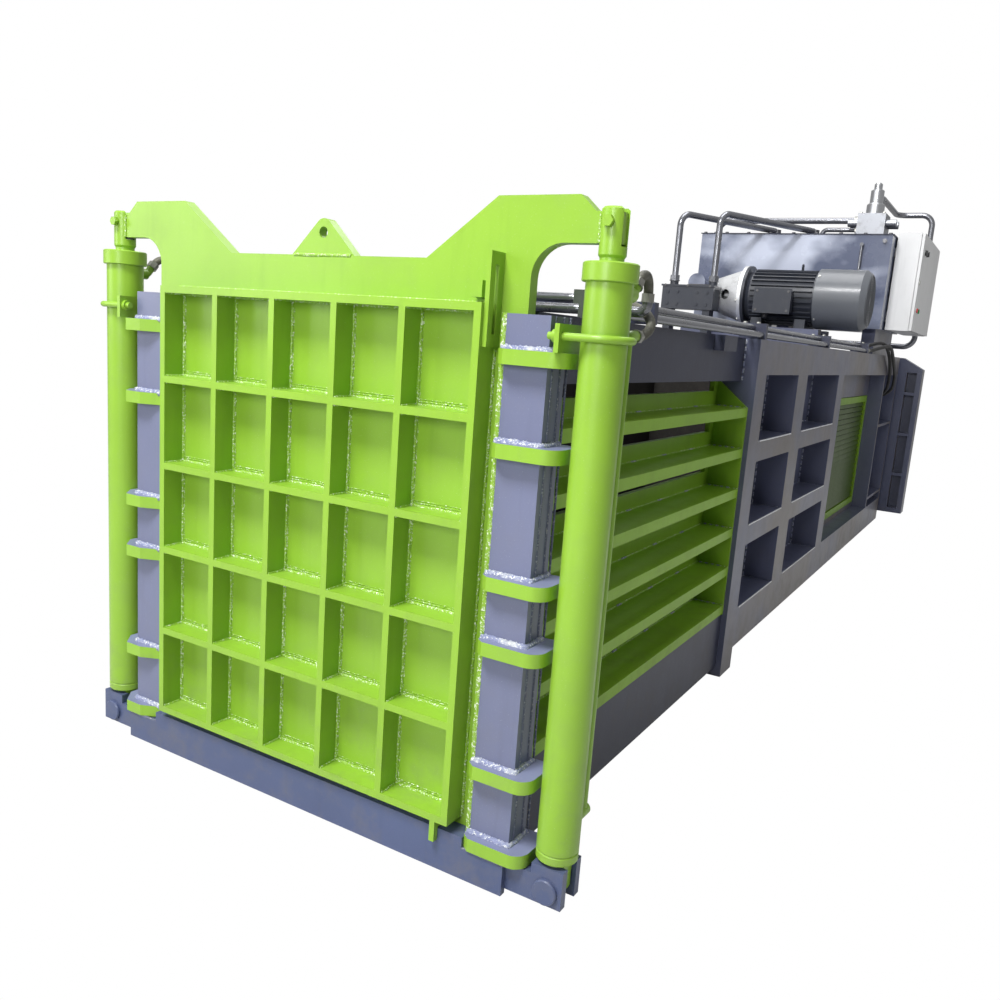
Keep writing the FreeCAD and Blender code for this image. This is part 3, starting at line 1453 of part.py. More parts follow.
def make_tank():
    """Oil tank on its stand with lid, filler cap, level gauge and the valve set on top."""
    start = tank_start
    end = start + d.tank_deep
    half = d.tank_half
    tank = plate(
        "tank",
        "XY",
        [(-half, start), (half, start), (half, end), (-half, end)],
        d.tank_top - d.tank_base,
        z=d.tank_base,
    )
    filter_x = -half + d.filter_radius * 1.2
    canister = round_bar(
        "filter_can", d.filter_radius, d.filter_long, filter_x, start - d.filter_long, d.filter_height, axis="Y"
    )
    filter_cap = round_bar(
        "filter_cap", d.filter_radius + 8, 26, filter_x, start - d.filter_long - 26, d.filter_height, axis="Y"
    )
    keep(joined("tank_set", [tank, canister, filter_cap]), "oil_tank")
    lap = d.lid_lap
    lid = block(
        "tank_cover",
        (-half - lap, half + lap),
        (start - lap, end + lap),
        (d.tank_top, d.tank_top + d.lid_thick),
    )
    filler_y = start + d.filler_back
    neck = round_bar("filler_neck", d.filler_radius - 7, 40, -d.filler_side, filler_y, tank_lid_top)
    keep(group("tank_lid_set", [lid, neck]), "tank_lid")
    foot = d.stand_foot
    stand = [
        block(f"stand_{step}", (x, x + foot), (start + 40, end - 40), (base, d.tank_base))
        for step, (x, base) in enumerate(
            ((-half + 30, d.frame_top), (-foot / 2, roof_top), (half - 30 - foot, d.frame_top))
        )
    ]
    keep(group("stand_set", stand), "tank_stand")

    skirt = d.filler_radius - 7 + d.cap_clearance
    filler = turned(
        "filler",
        "XZ",
        [
            (0, 40.3),
            (skirt, 40.3),
            (skirt, 14),
            (d.filler_radius, 14),
            (d.filler_radius, 62),
            (d.filler_radius - 8, 70),
            (0, 70),
        ],
        x=-d.filler_side,
        y=filler_y,
        z=tank_lid_top,
    )
    keep(filler, "filler_cap")
    gauge_low = d.tank_top - d.gauge_drop
    gauge_high = gauge_low + d.gauge_long
    gauge = joined(
        "gauge",
        [
            round_bar("gauge_tube", 9, gauge_high - gauge_low, d.gauge_side, start - 22, gauge_low),
            round_bar("gauge_foot", 13, 36, d.gauge_side, start - 36, gauge_low, axis="Y"),
            round_bar("gauge_head", 13, 36, d.gauge_side, start - 36, gauge_high, axis="Y"),
        ],
    )
    plug = round_bar("tank_plug", 15, 20, half - 48, start - 20, d.tank_top - 42, axis="Y")
    keep(group("gauge_set", [gauge, plug]), "level_gauge")

    valve_y = start + d.valve_back
    half_x, half_y = d.valve_wide / 2, d.valve_deep / 2
    base = block(
        "manifold",
        (d.valve_side - half_x, d.valve_side + half_x),
        (valve_y - half_y, valve_y + half_y),
        (tank_lid_top, tank_lid_top + d.valve_high),
    )
    coil = d.valve_wide * 0.87
    coils = [
        round_bar(
            f"coil_{step}", 26, coil * 2, d.valve_side - coil, valve_y + offset, tank_lid_top + 100, axis="X"
        )
        for step, offset in enumerate((-half_y / 2, half_y / 2))
    ]
    keep(joined("manifold_set", [base] + coils), "valve_manifold")
    relief = turned(
        "relief",
        "XZ",
        [
            (0, 0),
            (d.relief_radius, 0),
            (d.relief_radius, 70),
            (d.relief_radius - 16, 84),
            (d.relief_radius - 16, 170),
            (28, 182),
            (28, 215),
            (18, 225),
            (0, 225),
        ],
        x=d.valve_side,
        y=valve_y,
        z=tank_lid_top + d.valve_high,
    )
    keep(relief, "relief_valve")


def make_valve_block():
    """Directional valve block beside the pump, with its cover and mounting legs."""
    y = block_front
    x = (-d.block_out, -d.block_in)
    z = (block_low, block_high)
    body = block("block_body", x, (y, y + d.block_deep), z)
    cover = block("block_cover", (x[0] - 8, x[1] + 4), (y - 6, y + d.block_deep + 6), (z[1], z[1] + 12))
    legs = [
        block(f"block_leg_{step}", (start, start + 50), (y + 15, y + 105), (base, z[0]))
        for step, (start, base) in enumerate(
            ((-press_outer - 65, d.frame_top), (-d.block_in - 70, roof_top))
        )
    ]
    unions = [
        round_bar(f"union_{step}", d.pipe_radius + 7, 40, spot, y + d.block_deep / 2, z[1] + 12)
        for step, spot in enumerate((-d.riser_out, -d.riser_in))
    ]
    feed = round_bar(
        "pump_feed",
        d.pipe_radius,
        d.block_lead - d.block_deep - d.pump_radius - 13,
        d.bell_end - 120,
        y + d.block_deep,
        motor_axis - 20,
        axis="Y",
    )
    keep(group("block_set", [body, cover] + legs + unions + [feed]), "valve_block")


def make_pipes():
    """Rigid pipes from the valve block to the tank and along the frame."""
    riser_y = block_front + d.block_deep / 2
    over = tank_lid_top + d.riser_over
    shapes = []
    goal = tank_start + d.riser_land
    low = block_high + 52
    for x in (-d.riser_out, -d.riser_in):
        end = x + d.riser_drift
        path = [(x, riser_y, low), (x, riser_y, over), (end, goal, over), (end, goal, tank_lid_top)]
        shapes.append(swept(path, d.pipe_radius, d.riser_bend, d.riser_over - 2))
    valve_y = tank_start + d.valve_back
    high = tank_lid_top + d.valve_high / 2
    start = d.valve_side - d.valve_wide / 2
    cross_z = tank_lid_top + d.cross_rise
    cross_end = -d.tank_half + d.cross_inset
    cross = [(start, valve_y, cross_z), (cross_end, valve_y, cross_z), (cross_end, valve_y, tank_lid_top)]
    shapes.append(swept(cross, d.pipe_radius, d.riser_bend))
    drain_z = tank_lid_top + d.drain_rise
    drain_end = start - d.drain_reach
    drain = [(start, valve_y, drain_z), (drain_end, valve_y, drain_z), (drain_end, valve_y, tank_lid_top)]
    shapes.append(swept(drain, d.drain_radius, d.drain_rise - 20))
    rear_y = rear - d.main_line_lead
    first_y = valve_y + d.valve_deep / 2 + d.main_line_run
    crest = tank_lid_top + d.main_line_rise
    side = d.cabinet_inner + d.main_line_side
    back = d.frame_top + 93
    line = [
        (d.valve_side, valve_y + d.valve_deep / 2, high),
        (d.valve_side, first_y, high),
        (d.valve_side, first_y, crest),
        (d.valve_side, rear_y, crest),
        (side, rear_y, crest),
        (side, rear_y, back),
        (0, rear_y, back),
        (0, rear_y, d.main_height + d.main_radius),
    ]
    shapes.append(swept(line, d.pipe_radius, d.riser_bend))
    suction = [
        (d.bell_end - 120, motor_line + d.pump_radius + 13, motor_axis - 20),
        (d.bell_end - 120, tank_start, motor_axis - 20),
    ]
    shapes.append(swept(suction, d.suction_radius, 60))
    keep(bars("power_lines", shapes), "power_pipes")

    # Two lines run along the right side of the frame, then across to the left cylinder.
    runs = []
    corners = ((d.line_inner, d.line_near + d.line_gap, line_high), (d.line_outer, d.line_near, line_z))
    for index, (x, y, z) in enumerate(corners):
        path = [(x, line_end, z), (x, front + y, z), (-x, front + y, z)]
        runs.append(bars(f"gate_line_{index}", [swept(path, d.gate_pipe_radius, 40)]))
        cube = d.gate_pipe_radius + 9
        for side in (1, -1):
            spot = x * side
            if index:
                bend_x = side * (d.cylinder_x + d.port_shift - 8)
                turned_up = [(spot, front + y, z), (bend_x, front + y, z), (bend_x, front + y, z + d.elbow_rise)]
                runs.append(bars(f"line_end_{side}", [swept(turned_up, d.gate_pipe_radius, 20)]))
            runs.append(
                block(
                    f"tee_{index}_{side}",
                    (spot - cube, spot + cube),
                    (front + y - cube, front + y + cube),
                    (z - cube, z + cube),
                )
            )
    keep(joined("gate_lines", runs), "gate_pipes")

    grip = d.gate_pipe_radius + 5
    clamps = []
    spots = [front + place_y for place_y in (d.clamp_1, d.clamp_2, d.clamp_3)]
    for step, y in enumerate(spots + [line_end - d.clamp_lead]):
        clamp = block(
            f"clamp_{step}",
            (d.upper_beam_x - 40, d.line_outer + grip),
            (y, y + 30),
            (d.frame_top, line_high + grip),
        )
        holes = [
            round_bar(f"clamp_hole_{step}_{index}", d.gate_pipe_radius, 60, x, y - 10, z, axis="Y")
            for index, (x, z) in enumerate(((d.line_inner, line_high), (d.line_outer, line_z)))
        ]
        clamps.append(cut(f"clamp_bored_{step}", clamp, holes))
    keep(group("clamp_set", clamps), "pipe_clamps")


def hose(points, radius):
    """A hose whose bends are as wide as its runs allow."""
    points = [Vector(*[number(size) for size in point]) for point in points]
    edges = []
    start = points[0]
    widest = []
    for before, corner, after in zip(points, points[1:], points[2:]):
        back = (before - corner)
        ahead = (after - corner)
        reach = 0.45 * min(back.Length, ahead.Length)
        back.normalize()
        ahead.normalize()
        turn = math.pi - back.getAngle(ahead)
        bend = reach / math.tan(turn / 2)
        widest.append(bend)
        inward = (back + ahead).normalize()
        middle = corner + inward * (bend / math.cos(turn / 2) - bend)
        edges.append(Part.LineSegment(start, corner + back * reach).toShape())
        edges.append(Part.Arc(corner + back * reach, middle, corner + ahead * reach).toShape())
        start = corner + ahead * reach
    edges.append(Part.LineSegment(start, points[-1]).toShape())
    print("hose bends from", round(min(widest)), "mm")
    circle = Part.Circle(points[0], points[1] - points[0], number(radius))
    return Part.Wire(edges).makePipeShell([Part.Wire(circle.toShape())], True, False)


def make_hoses():
    """Hoses from the pipe ends to the gate cylinders, and down the rear post."""
    port_x = d.cylinder_x + d.port_shift
    stub_y = cylinder_y + d.port_reach + 4.5
    radius = d.hose_radius
    tee = d.gate_pipe_radius + 9
    near_y = front + d.line_near
    inner_y = near_y + d.line_gap
    pipe_y = cylinder_y + d.port_reach - d.port_radius
    elbow_z = d.hoop_height + d.elbow_over
    upper = [
        (port_x, stub_y, d.port_high + 20),
        (port_x, stub_y + 12, d.port_high + 35),
        (port_x, near_y - 68, d.port_high + 50),
        (port_x - 1, near_y - 40, d.port_high + 54),
        (port_x - 4, near_y - 16, d.port_high + 41),
        (port_x - 8, near_y, d.port_high + 17),
        (port_x - 8, near_y, line_z + d.elbow_rise),
    ]
    lower = [
        (d.line_inner + tee, inner_y, line_high),
        (d.line_outer + 50, inner_y, line_high),
        (port_x - 56, inner_y - 1, line_high - 13),
        (port_x - 16, inner_y - 9, line_high - 33),
        (port_x + 2, inner_y - 27, elbow_z + 31),
        (port_x + 4, inner_y - 55, elbow_z + 11),
        (port_x, inner_y - 87, elbow_z),
        (port_x, pipe_y + d.elbow_out, elbow_z),
    ]
    pair = bars("hose_pair", [hose(upper, radius), hose(lower, radius)])
    keep(both("hose", [pair]), "cylinder_hoses")

    start_y = line_end
    post_y = bay_back + d.rear_post_long * 0.3
    rear_hoses = []
    for x, z, out, shift in ((d.line_inner, line_high, 12, 0), (d.line_outer, line_z, 42, 60)):
        side = d.frame_half + radius + out
        path = [
            (x, start_y, z),
            (x, start_y + 120, z),
            (side, start_y + 330, z + 40),
            (side, start_y + 640, z + 18 + shift / 2),
            (side, start_y + 900, z - 70),
            (side - 12, post_y - 40 + shift, top_rail_base - 9),
            (side - 30, post_y + 30 + shift, top_rail_base - 129),
            (press_outer + 60, post_y + 50 + shift, top_rail_base - 185),
            (press_outer, post_y + 50 + shift, top_rail_base - 185),
        ]
        rear_hoses.append(hose(path, radius))
    keep(bars("rear_hose_pair", rear_hoses), "rear_hoses")


def make_cabinet():
    """Control cabinet on the tank's side, with its hinged door, knobs and buttons."""
    sheet_thick = d.cabinet_sheet
    start = tank_start + d.cabinet_shift
    end = start + d.cabinet_long
    inner = d.cabinet_inner
    face = d.cabinet_outer - d.cabinet_door
    low, high = d.cabinet_base, d.cabinet_top
    span = (start, end)
    reach = (inner + sheet_thick, face)
    within = (low + sheet_thick, high - sheet_thick)
    case = [
        block("case_back", (inner, inner + sheet_thick), span, (low, high)),
        block("case_foot", reach, span, (low, low + sheet_thick)),
        block("case_head", reach, span, (high - sheet_thick, high)),
        block("case_front", reach, (start, start + sheet_thick), within),
        block("case_rear", reach, (end - sheet_thick, end), within),
    ]
    pads = [
        block(f"case_pad_{step}", (d.tank_half, inner), (y, y + 60), (z, z + 60))
        for step, (y, z) in enumerate(
            ((start + 60, low + 60), (start + 60, high - 160), (start + 600, low + 60), (start + 600, high - 160))
        )
    ]
    hinge_x = face + 2
    hinge_y = end + d.cabinet_knuckle + 2
    fixed, leaves = [], []
    for step, z in enumerate((low + 120, high - 120 - 2 * d.hinge_high)):
        middle = z + d.hinge_high
        knuckle = round_bar(f"case_knuckle_{step}", d.cabinet_knuckle, d.hinge_high, hinge_x, hinge_y, z)
        arm = block(f"case_arm_{step}", (hinge_x - 8, hinge_x - 2), (end, hinge_y), (z, middle))
        pin = round_bar(f"case_pin_{step}", d.cabinet_pin, 2 * d.hinge_high - 4, hinge_x, hinge_y, z)
        fixed.append(joined(f"case_hinge_{step}", [knuckle, arm, pin]))
        sleeve = round_bar(
            f"door_sleeve_{step}", d.cabinet_knuckle, d.hinge_high - 0.5, hinge_x, hinge_y, middle + 0.5
        )
        leaf = block(
            f"door_leaf_{step}", (hinge_x + 2, hinge_x + 7), (end, hinge_y), (middle + 0.5, middle + d.hinge_high)
        )
        bore = round_bar(
            f"door_bore_{step}",
            d.cabinet_pin + d.pin_clearance,
            d.hinge_high + 20,
            hinge_x,
            hinge_y,
            middle - 10,
        )
        leaves.append(cut(f"door_hinge_{step}", joined(f"door_hinge_whole_{step}", [sleeve, leaf]), [bore]))
    keep(group("case_whole", case + pads + fixed), "control_cabinet")

    back = hinge_x + 1
    door = block("door_slab", (back, d.cabinet_outer), (start, end), (low + 3, high - 3))
    hollow = block(
        "door_hollow",
        (back - 5, d.cabinet_outer - sheet_thick),
        (start + 16, end - 16),
        (low + 19, high - 19),
    )
    spots = {
        "power_knob": (start + 90, high - 130),
        "mode_knob": (start + 190, high - 130),
        "stop_button": (start + 90, low + 150),
        "start_button": (start + 190, low + 150),
    }
    bezels, holes = [], []
    for name, (y, z) in spots.items():
        bore = d.button_radius + d.button_gap if "button" in name else d.spindle_radius + d.pin_clearance
        rim = round_bar(name + "_bezel", d.bezel_radius, 5, d.cabinet_outer, y, z, axis="X")
        bezels.append(rim)
        holes.append(round_bar(name + "_hole", bore, 40, d.cabinet_outer - 20, y, z, axis="X"))
    whole = joined("door_joined", [cut("door_tray", door, [hollow])] + bezels + leaves)
    keep(cut("door_pierced", whole, holes), "cabinet_door")

    face_x = d.cabinet_outer + 5
    for name, (y, z) in spots.items():
        if "button" in name:
            disc = round_bar(name + "_disc", d.button_radius, 24, face_x - 18, y, z, axis="X")
            back_ring = round_bar(
                name + "_back",
                d.button_radius + 3,
                4,
                d.cabinet_outer - sheet_thick - d.button_gap - 4,
                y,
                z,
                axis="X",
            )
            keep(joined(name + "_set", [disc, back_ring]), name)
        else:
            disc = round_bar(name + "_disc", d.bezel_radius - 3, 8, face_x + d.button_gap, y, z, axis="X")
            grip = block(
                name + "_grip",
                (face_x + d.button_gap, face_x + 19),
                (y - 5, y + 5),
                (z - d.bezel_radius + 5, z + d.bezel_radius - 5),
            )
            spindle = round_bar(name + "_spindle", d.spindle_radius, 20, face_x - 19, y, z, axis="X")
            washer = round_bar(
                name + "_washer",
                d.spindle_radius + 4,
                4,
                d.cabinet_outer - sheet_thick - d.button_gap - 4,
                y,
                z,
                axis="X",
            )
            keep(joined(name + "_set", [disc, grip, spindle, washer]), name)


def write_nodes():
    doc.recompute()
    failed = [item.Name for item in doc.Objects if {"Invalid", "Error"} & set(item.State)]
    if failed:
        raise RuntimeError("features that did not rebuild: " + ", ".join(failed))
    os.makedirs("parts", exist_ok=True)
    for item in nodes:
        if item.Shape.isNull() or not item.Shape.isValid():
            raise RuntimeError("no sound solid in " + item.Label)
        item.Shape.exportStep(f"parts/{item.Label}.step")
    print(len(nodes), "nodes written")


make_gate()
make_rods()
make_sill()
make_guides()
make_gate_cylinders()
make_chamber()
make_side_frames()
make_access_door()
make_ram()
make_motor()
make_tank()
make_valve_block()
make_pipes()
make_hoses()
make_cabinet()
write_nodes()
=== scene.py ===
"""Looks for the horizontal baling press: paint, welds, fasteners, fittings, studio and camera."""

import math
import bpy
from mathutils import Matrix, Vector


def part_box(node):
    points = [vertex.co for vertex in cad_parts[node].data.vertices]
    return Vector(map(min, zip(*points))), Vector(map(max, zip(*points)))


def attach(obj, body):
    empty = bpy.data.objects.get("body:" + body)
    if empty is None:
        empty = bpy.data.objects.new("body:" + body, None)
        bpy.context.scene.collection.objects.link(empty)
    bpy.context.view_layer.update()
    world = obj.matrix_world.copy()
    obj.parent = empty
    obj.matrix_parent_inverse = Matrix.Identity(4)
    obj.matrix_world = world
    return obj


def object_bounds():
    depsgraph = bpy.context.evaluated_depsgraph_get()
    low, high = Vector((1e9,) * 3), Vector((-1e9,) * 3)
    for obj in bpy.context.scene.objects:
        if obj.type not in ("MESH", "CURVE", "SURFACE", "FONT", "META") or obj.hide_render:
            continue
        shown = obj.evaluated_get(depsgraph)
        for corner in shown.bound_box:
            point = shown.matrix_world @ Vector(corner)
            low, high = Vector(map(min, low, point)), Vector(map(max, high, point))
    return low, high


bl_info = {
    "name": "Baling Press Looks",
    "version": (1, 0, 0),
    "blender": (4, 5, 0),
    "location": "3D View > Sidebar > Baling Press",
    "description": "Paints and details the baling press and sets up its studio and camera",
    "category": "Object",
}

import bpy
from bpy.props import FloatProperty, FloatVectorProperty, IntProperty, PointerProperty
from mathutils import Matrix, Vector

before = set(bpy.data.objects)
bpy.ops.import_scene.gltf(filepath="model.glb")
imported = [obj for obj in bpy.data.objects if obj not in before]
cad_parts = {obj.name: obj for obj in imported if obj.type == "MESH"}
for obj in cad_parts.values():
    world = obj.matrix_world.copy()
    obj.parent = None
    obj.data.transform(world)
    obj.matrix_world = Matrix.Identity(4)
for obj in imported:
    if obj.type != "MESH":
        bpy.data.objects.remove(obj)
CAD_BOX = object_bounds()


def box(node):
    """Lowest and highest corner of a node, as vectors."""
    low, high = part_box(node)
    return Vector(low), Vector(high)


def middle(node):
    low, high = box(node)
    return (low + high) / 2


# ---------------------------------------------------------------- places that no node's box gives

FRONT = CAD_BOX[0][1]
SIDES = (1, -1)
UP, AHEAD, BACK, LEFT = (0, 0, 1), (0, -1, 0), (0, 1, 0), (-1, 0, 0)

RIB_PLATE = 0.02  # thickness of the plates in the gate's crate
CELLS = 5  # cells of the crate, across and up
FORK_JOINT = 0.0717  # from the rods' outer side in to the seam at the fork
FORK_SEAM = (1.622, 1.688)  # its foot and head

SILL_END = 0.126  # from the sill's end in to the columns' inner edge
SILL_SEAM = 0.085  # its height
LUG_TOPS = [0.125, 0.327, 0.658, 0.825, 1.153, 1.375]
COLUMN_JOINTS = (0.024, 0.065, 0.100)  # seams between a column's plates, from its front
STRIP_DEPTHS = (0.006, 0.018)  # beads beside the gate, from the columns' front

SHELF_TOPS = [1.183 - 0.171 * step for step in range(6)]
CHAMBER_WALL = 0.55  # outside of the chamber's walls
END_PLATE = 0.014  # end plate of the shelves
BEAM_JOINT = 0.037  # from the upper beams' outer side in to their seam
BEAM_SEAM = 1.295  # its foot

PRESS_WALL = 0.555  # outside of the press's walls, behind the windows
FIRST_WINDOW = 0.157  # from the side frame's front
WINDOW_BAYS = ((0.0, 0.61), (0.818, 1.662))  # from the first window
WINDOW_ROWS = ((0.281, 0.571), (0.662, 0.945), (1.035, 1.321))
DOOR_BAR = 0.046  # frame round the access door's slats

BLOCK_SCREWS, BLOCK_PLUGS = 1.838, (1.715, 1.795)  # heights on the valve block's front
NUT_CIRCLE = 0.21  # round the main cylinder, on the crosshead
LID_PLATE = 0.006  # thickness of the tank's lid
CLAMPS = (0.7, 1.96, 3.3, 4.6)  # pipe clamps, from the front of the machine
RISER = 0.081  # from the valve block's front to its risers
RISER_REACH = 0.43  # from a riser to where its pipe enters the lid
TANK_DEPTH = 0.96  # front to rear
PIPE_HALF = 0.022  # from the gate pipes' outside in to their middle

# profiles of the turned pieces: radius and height of each corner
CABLE_GLAND = [(0.021, 0), (0.021, 0.012), (0.017, 0.014)]
CABLE_GLAND += [(0.017, 0.030), (0.012, 0.038), (0.009, 0.039)]
DOOR_LOCK = [(0.017, 0), (0.017, 0.004), (0.015, 0.006), (0.009, 0.0065)]
DOOR_LOCK += [(0.009, 0.003), (0.002, 0.003)]
BUTTON_CAP = [(0.0158, 0), (0.0158, 0.003), (0.0148, 0.0045), (0.011, 0.004), (0.004, 0.0034)]

GLOSSY_SKY = 0.34  # how much of the white background the gloss mirrors
GLOSSY_FLOOR = 0.25
FLOOR_REACH = 40.0
LAMPS = (
    # name, setting, place, target, width, whether gloss mirrors it
    ("key_lamp", "key", (-0.5, -6.7, 7.3), (0.0, -2.9, 1.0), 2.0, True),
    ("front_lamp", "front", (1.0, -10.0, 3.2), (0.0, -2.5, 1.0), 2.5, True),
    ("fill_lamp", "fill", (-5.5, -7.4, 3.0), (0, -3.0, 0.9), 3.5, True),
    ("right_lamp", "right", (6.5, 0.5, 4.5), (0.9, -0.5, 1.0), 3.0, False),
    ("rear_lamp", "back", (-4.5, 8.5, 5.0), (0, 2.8, 1.2), 4.0, False),
    ("roof_lamp", "roof", (-0.3, 0.8, 7.0), (0.2, 0.5, 1.0), 4.0, True),
)
CAMERA_PLACE = (1.685, FRONT - 1.788, 1.403)
CAMERA_TURN = (30.11, 10.45, 4.23)  # yaw, tilt and roll in degrees


# ---------------------------------------------------------------- settings


def colour_setting(name, description, default):
    return FloatVectorProperty(
        name=name, description=description, default=default, min=0, max=1, subtype="COLOR", size=3
    )


def number_setting(name, description, default, least=0, **more):
    return FloatProperty(name=name, description=description, default=default, min=least, **more)


def length_setting(name, description, default):
    return number_setting(name, description, default, subtype="DISTANCE", unit="LENGTH")


class BALER_PG_paint(bpy.types.PropertyGroup):
    """Colours of the machine's paints."""

    green: colour_setting("Green", "Paint of gate, lugs, shelves, cylinders", (0.228, 0.412, 0.032))
    grey: colour_setting("Grey", "Blue-grey paint of the frame", (0.098, 0.108, 0.172))
    tank: colour_setting("Tank", "Gloss paint of the oil tank", (0.100, 0.122, 0.205))
    cabinet: colour_setting("Cabinet", "Powder coat of the control cabinet", (0.69, 0.695, 0.70))
    motor: colour_setting("Motor", "Paint of the motor body", (0.030, 0.034, 0.046))
    cowl: colour_setting("Fan cowl", "Paint of the fan cowl", (0.110, 0.118, 0.132))
    peel: length_setting("Orange peel", "Depth of the paint's ripples", 0.0004)


class BALER_PG_weld(bpy.types.PropertyGroup):
    """Sizes of the weld beads."""

    heavy: length_setting("Heavy bead", "Radius of the beads at lugs and columns", 0.0100)
    light: length_setting("Light bead", "Radius of the beads inside the gate's cells", 0.0056)
    step: length_setting("Step", "Distance between rings along a bead", 0.008)
    lumps: length_setting("Lumps", "Unevenness of a bead", 0.0042)
    colour: colour_setting("Bead", "Bare weld metal", (0.66, 0.68, 0.66))


class BALER_PG_fittings(bpy.types.PropertyGroup):
    """Sizes of nuts, bolts and unions."""

    bolt: length_setting("Bolt", "Radius of a bolt head across its corners", 0.013)
    union: length_setting("Union", "Radius of a pipe union across its corners", 0.034)
    rings: IntProperty(name="Guard rings", description="Rings in the fan guard", default=9, min=2)


class BALER_PG_stage(bpy.types.PropertyGroup):
    """Lamps, sky and camera."""

    lens: number_setting("Lens", "Focal length in millimetres", 31.954, 1)
    key: number_setting("Key lamp", "Watts of the lamp before the gate", 790)
    front: number_setting("Front lamp", "Watts of the low lamp before the gate", 265)
    fill: number_setting("Fill lamp", "Watts of the lamp at the left", 150)
    right: number_setting("Right lamp", "Watts of the lamp at the right", 100)
    back: number_setting("Rear lamp", "Watts of the lamp behind the machine", 260)
    roof: number_setting("Roof lamp", "Watts of the lamp overhead", 280)
    sky: number_setting("Sky", "Strength of the world's light", 0.13)


# ---------------------------------------------------------------- node trees


class Value:
    """A node's output that can be used in an expression."""

    def __init__(self, wiring, socket):
        self.wiring = wiring
        self.socket = socket

    def worked(self, operation, *others):
        return self.wiring.calculate(operation, self, *others)

    def __add__(self, other):
        return self.worked("ADD", other)

    __radd__ = __add__

    def __sub__(self, other):
        return self.worked("SUBTRACT", other)

    def __rsub__(self, other):
        return self.wiring.calculate("SUBTRACT", other, self)

    def __mul__(self, other):
        return self.worked("MULTIPLY", other)

    __rmul__ = __mul__

    def clamped(self):
        return self.wiring.calculate("MULTIPLY", self, 1.0, clamp=True)

    def step(self, start, end):
        """0 below start, 1 above end, straight between."""
        limits = {0: self, 1: start, 2: end, 3: 0.0, 4: 1.0}
        return self.wiring.add("ShaderNodeMapRange", {"clamp": True}, limits)[0]


class Wiring:
    """A node tree whose nodes all come from one method."""

    def __init__(self, tree):
        self.tree = tree
        tree.nodes.clear()

    def add(self, kind, settings=None, inputs=None):
        """Set a node up, fill or link its inputs, and give its outputs by number and by name."""
        node = self.tree.nodes.new(kind)
        for key, value in (settings or {}).items():
            setattr(node, key, value)
        for key, value in (inputs or {}).items():
            if isinstance(value, (Value, list)):
                for single in reversed(value) if isinstance(value, list) else [value]:
                    self.tree.links.new(single.socket, node.inputs[key])
            else:
                node.inputs[key].default_value = value
        sockets = list(enumerate(node.outputs)) + list(node.outputs.items())
        return {key: Value(self, socket) for key, socket in sockets}

    def calculate(self, operation, *values, clamp=False):
        settings = {"operation": operation, "use_clamp": clamp}
        return self.add("ShaderNodeMath", settings, dict(enumerate(values)))[0]


# ---------------------------------------------------------------- finishes

DIRT = (0.16, 0.145, 0.12)
PALE_SPECKS = (0.70, 0.71, 0.67)
# Near-black tones of the chamber's inside: worn steel, darkened further as painted shade.
WORN_DARK_AND_SHADED, WORN_PALE_AND_SHADED = (0.012, 0.011, 0.010), (0.032, 0.029, 0.027)
MIRRORED_SKY = (0.56, 0.60, 0.72)
# Near-white of the weld spatter: real spatter, brightened as painted glints.
SPATTER_AND_GLINT = (0.92, 0.94, 0.86)
CHROME = (0.80, 0.81, 0.83)
OLD_OIL = (0.4, 0.38, 0.33)


class Recipe(Wiring):
    """One material's nodes."""

    def __init__(self, name):
        self.material = bpy.data.materials.new(name)
        self.material.use_nodes = True
        super().__init__(self.material.node_tree)

    def place(self):
        """Object coordinates, which are the machine's own metres."""
        return self.add("ShaderNodeTexCoord")["Object"]

    def along(self):
        """Object coordinates, one by one."""
        return self.add("ShaderNodeSeparateXYZ", {}, {0: self.place()})

    def scaled(self, place, scale):
        return self.add("ShaderNodeMapping", {}, {0: place, 3: scale})[0]

    def noise(self, place, scale, detail=3.0, rough=0.55):
        inputs = {"Vector": place, "Scale": scale, "Detail": detail, "Roughness": rough}
        return self.add("ShaderNodeTexNoise", {"noise_dimensions": "3D"}, inputs)[0]

    def mix(self, factor, first, second):
        inputs = {0: factor, 6: tinted(first), 7: tinted(second)}
        return self.add("ShaderNodeMix", {"data_type": "RGBA"}, inputs)[2]

    def height(self):
        return self.along()["Z"]

    def inside(self, half, top):
        """1 on what faces into the chamber, between its walls and under its roof."""
        along = self.along()
        across = along["X"].worked("ABSOLUTE")
        return (across.worked("LESS_THAN", half) * along["Z"].worked("LESS_THAN", top)).clamped()

    def window(self, low, high):
        """1 inside a rectangle in Y and Z."""
        along = self.along()
        y, z = along["Y"], along["Z"]
        inside = y.worked("GREATER_THAN", low.y) * y.worked("LESS_THAN", high.y)
        return inside * z.worked("GREATER_THAN", low.z) * z.worked("LESS_THAN", high.z)

    def facing(self, axis):
        """How far the surface faces along X, Y or Z."""
        normal = self.add("ShaderNodeNewGeometry")["Normal"]
        return self.add("ShaderNodeSeparateXYZ", {}, {0: normal})[axis]

    def bump(self, height, distance):
        inputs = {"Strength": 1.0, "Distance": distance, "Height": height}
        return self.add("ShaderNodeBump", {}, inputs)[0]

    def finish(self, colour, roughness, normal, metallic=0.0, **fixed):
        inputs = {"Base Color": tinted(colour), "Roughness": roughness}
        inputs.update({"Normal": normal, "Metallic": metallic})
        for key, value in fixed.items():
            inputs[key.replace("_", " ")] = value
        shader = self.add("ShaderNodeBsdfPrincipled", {}, inputs)[0]
        self.add("ShaderNodeOutputMaterial", {}, {0: shader})
        return self.material


def tinted(colour):
    if isinstance(colour, Value) or len(colour) == 4:
        return colour
    return tuple(colour) + (1.0,)


def shade(colour, amount):
    return tuple(max(0.0, min(1.0, channel * amount)) for channel in colour)


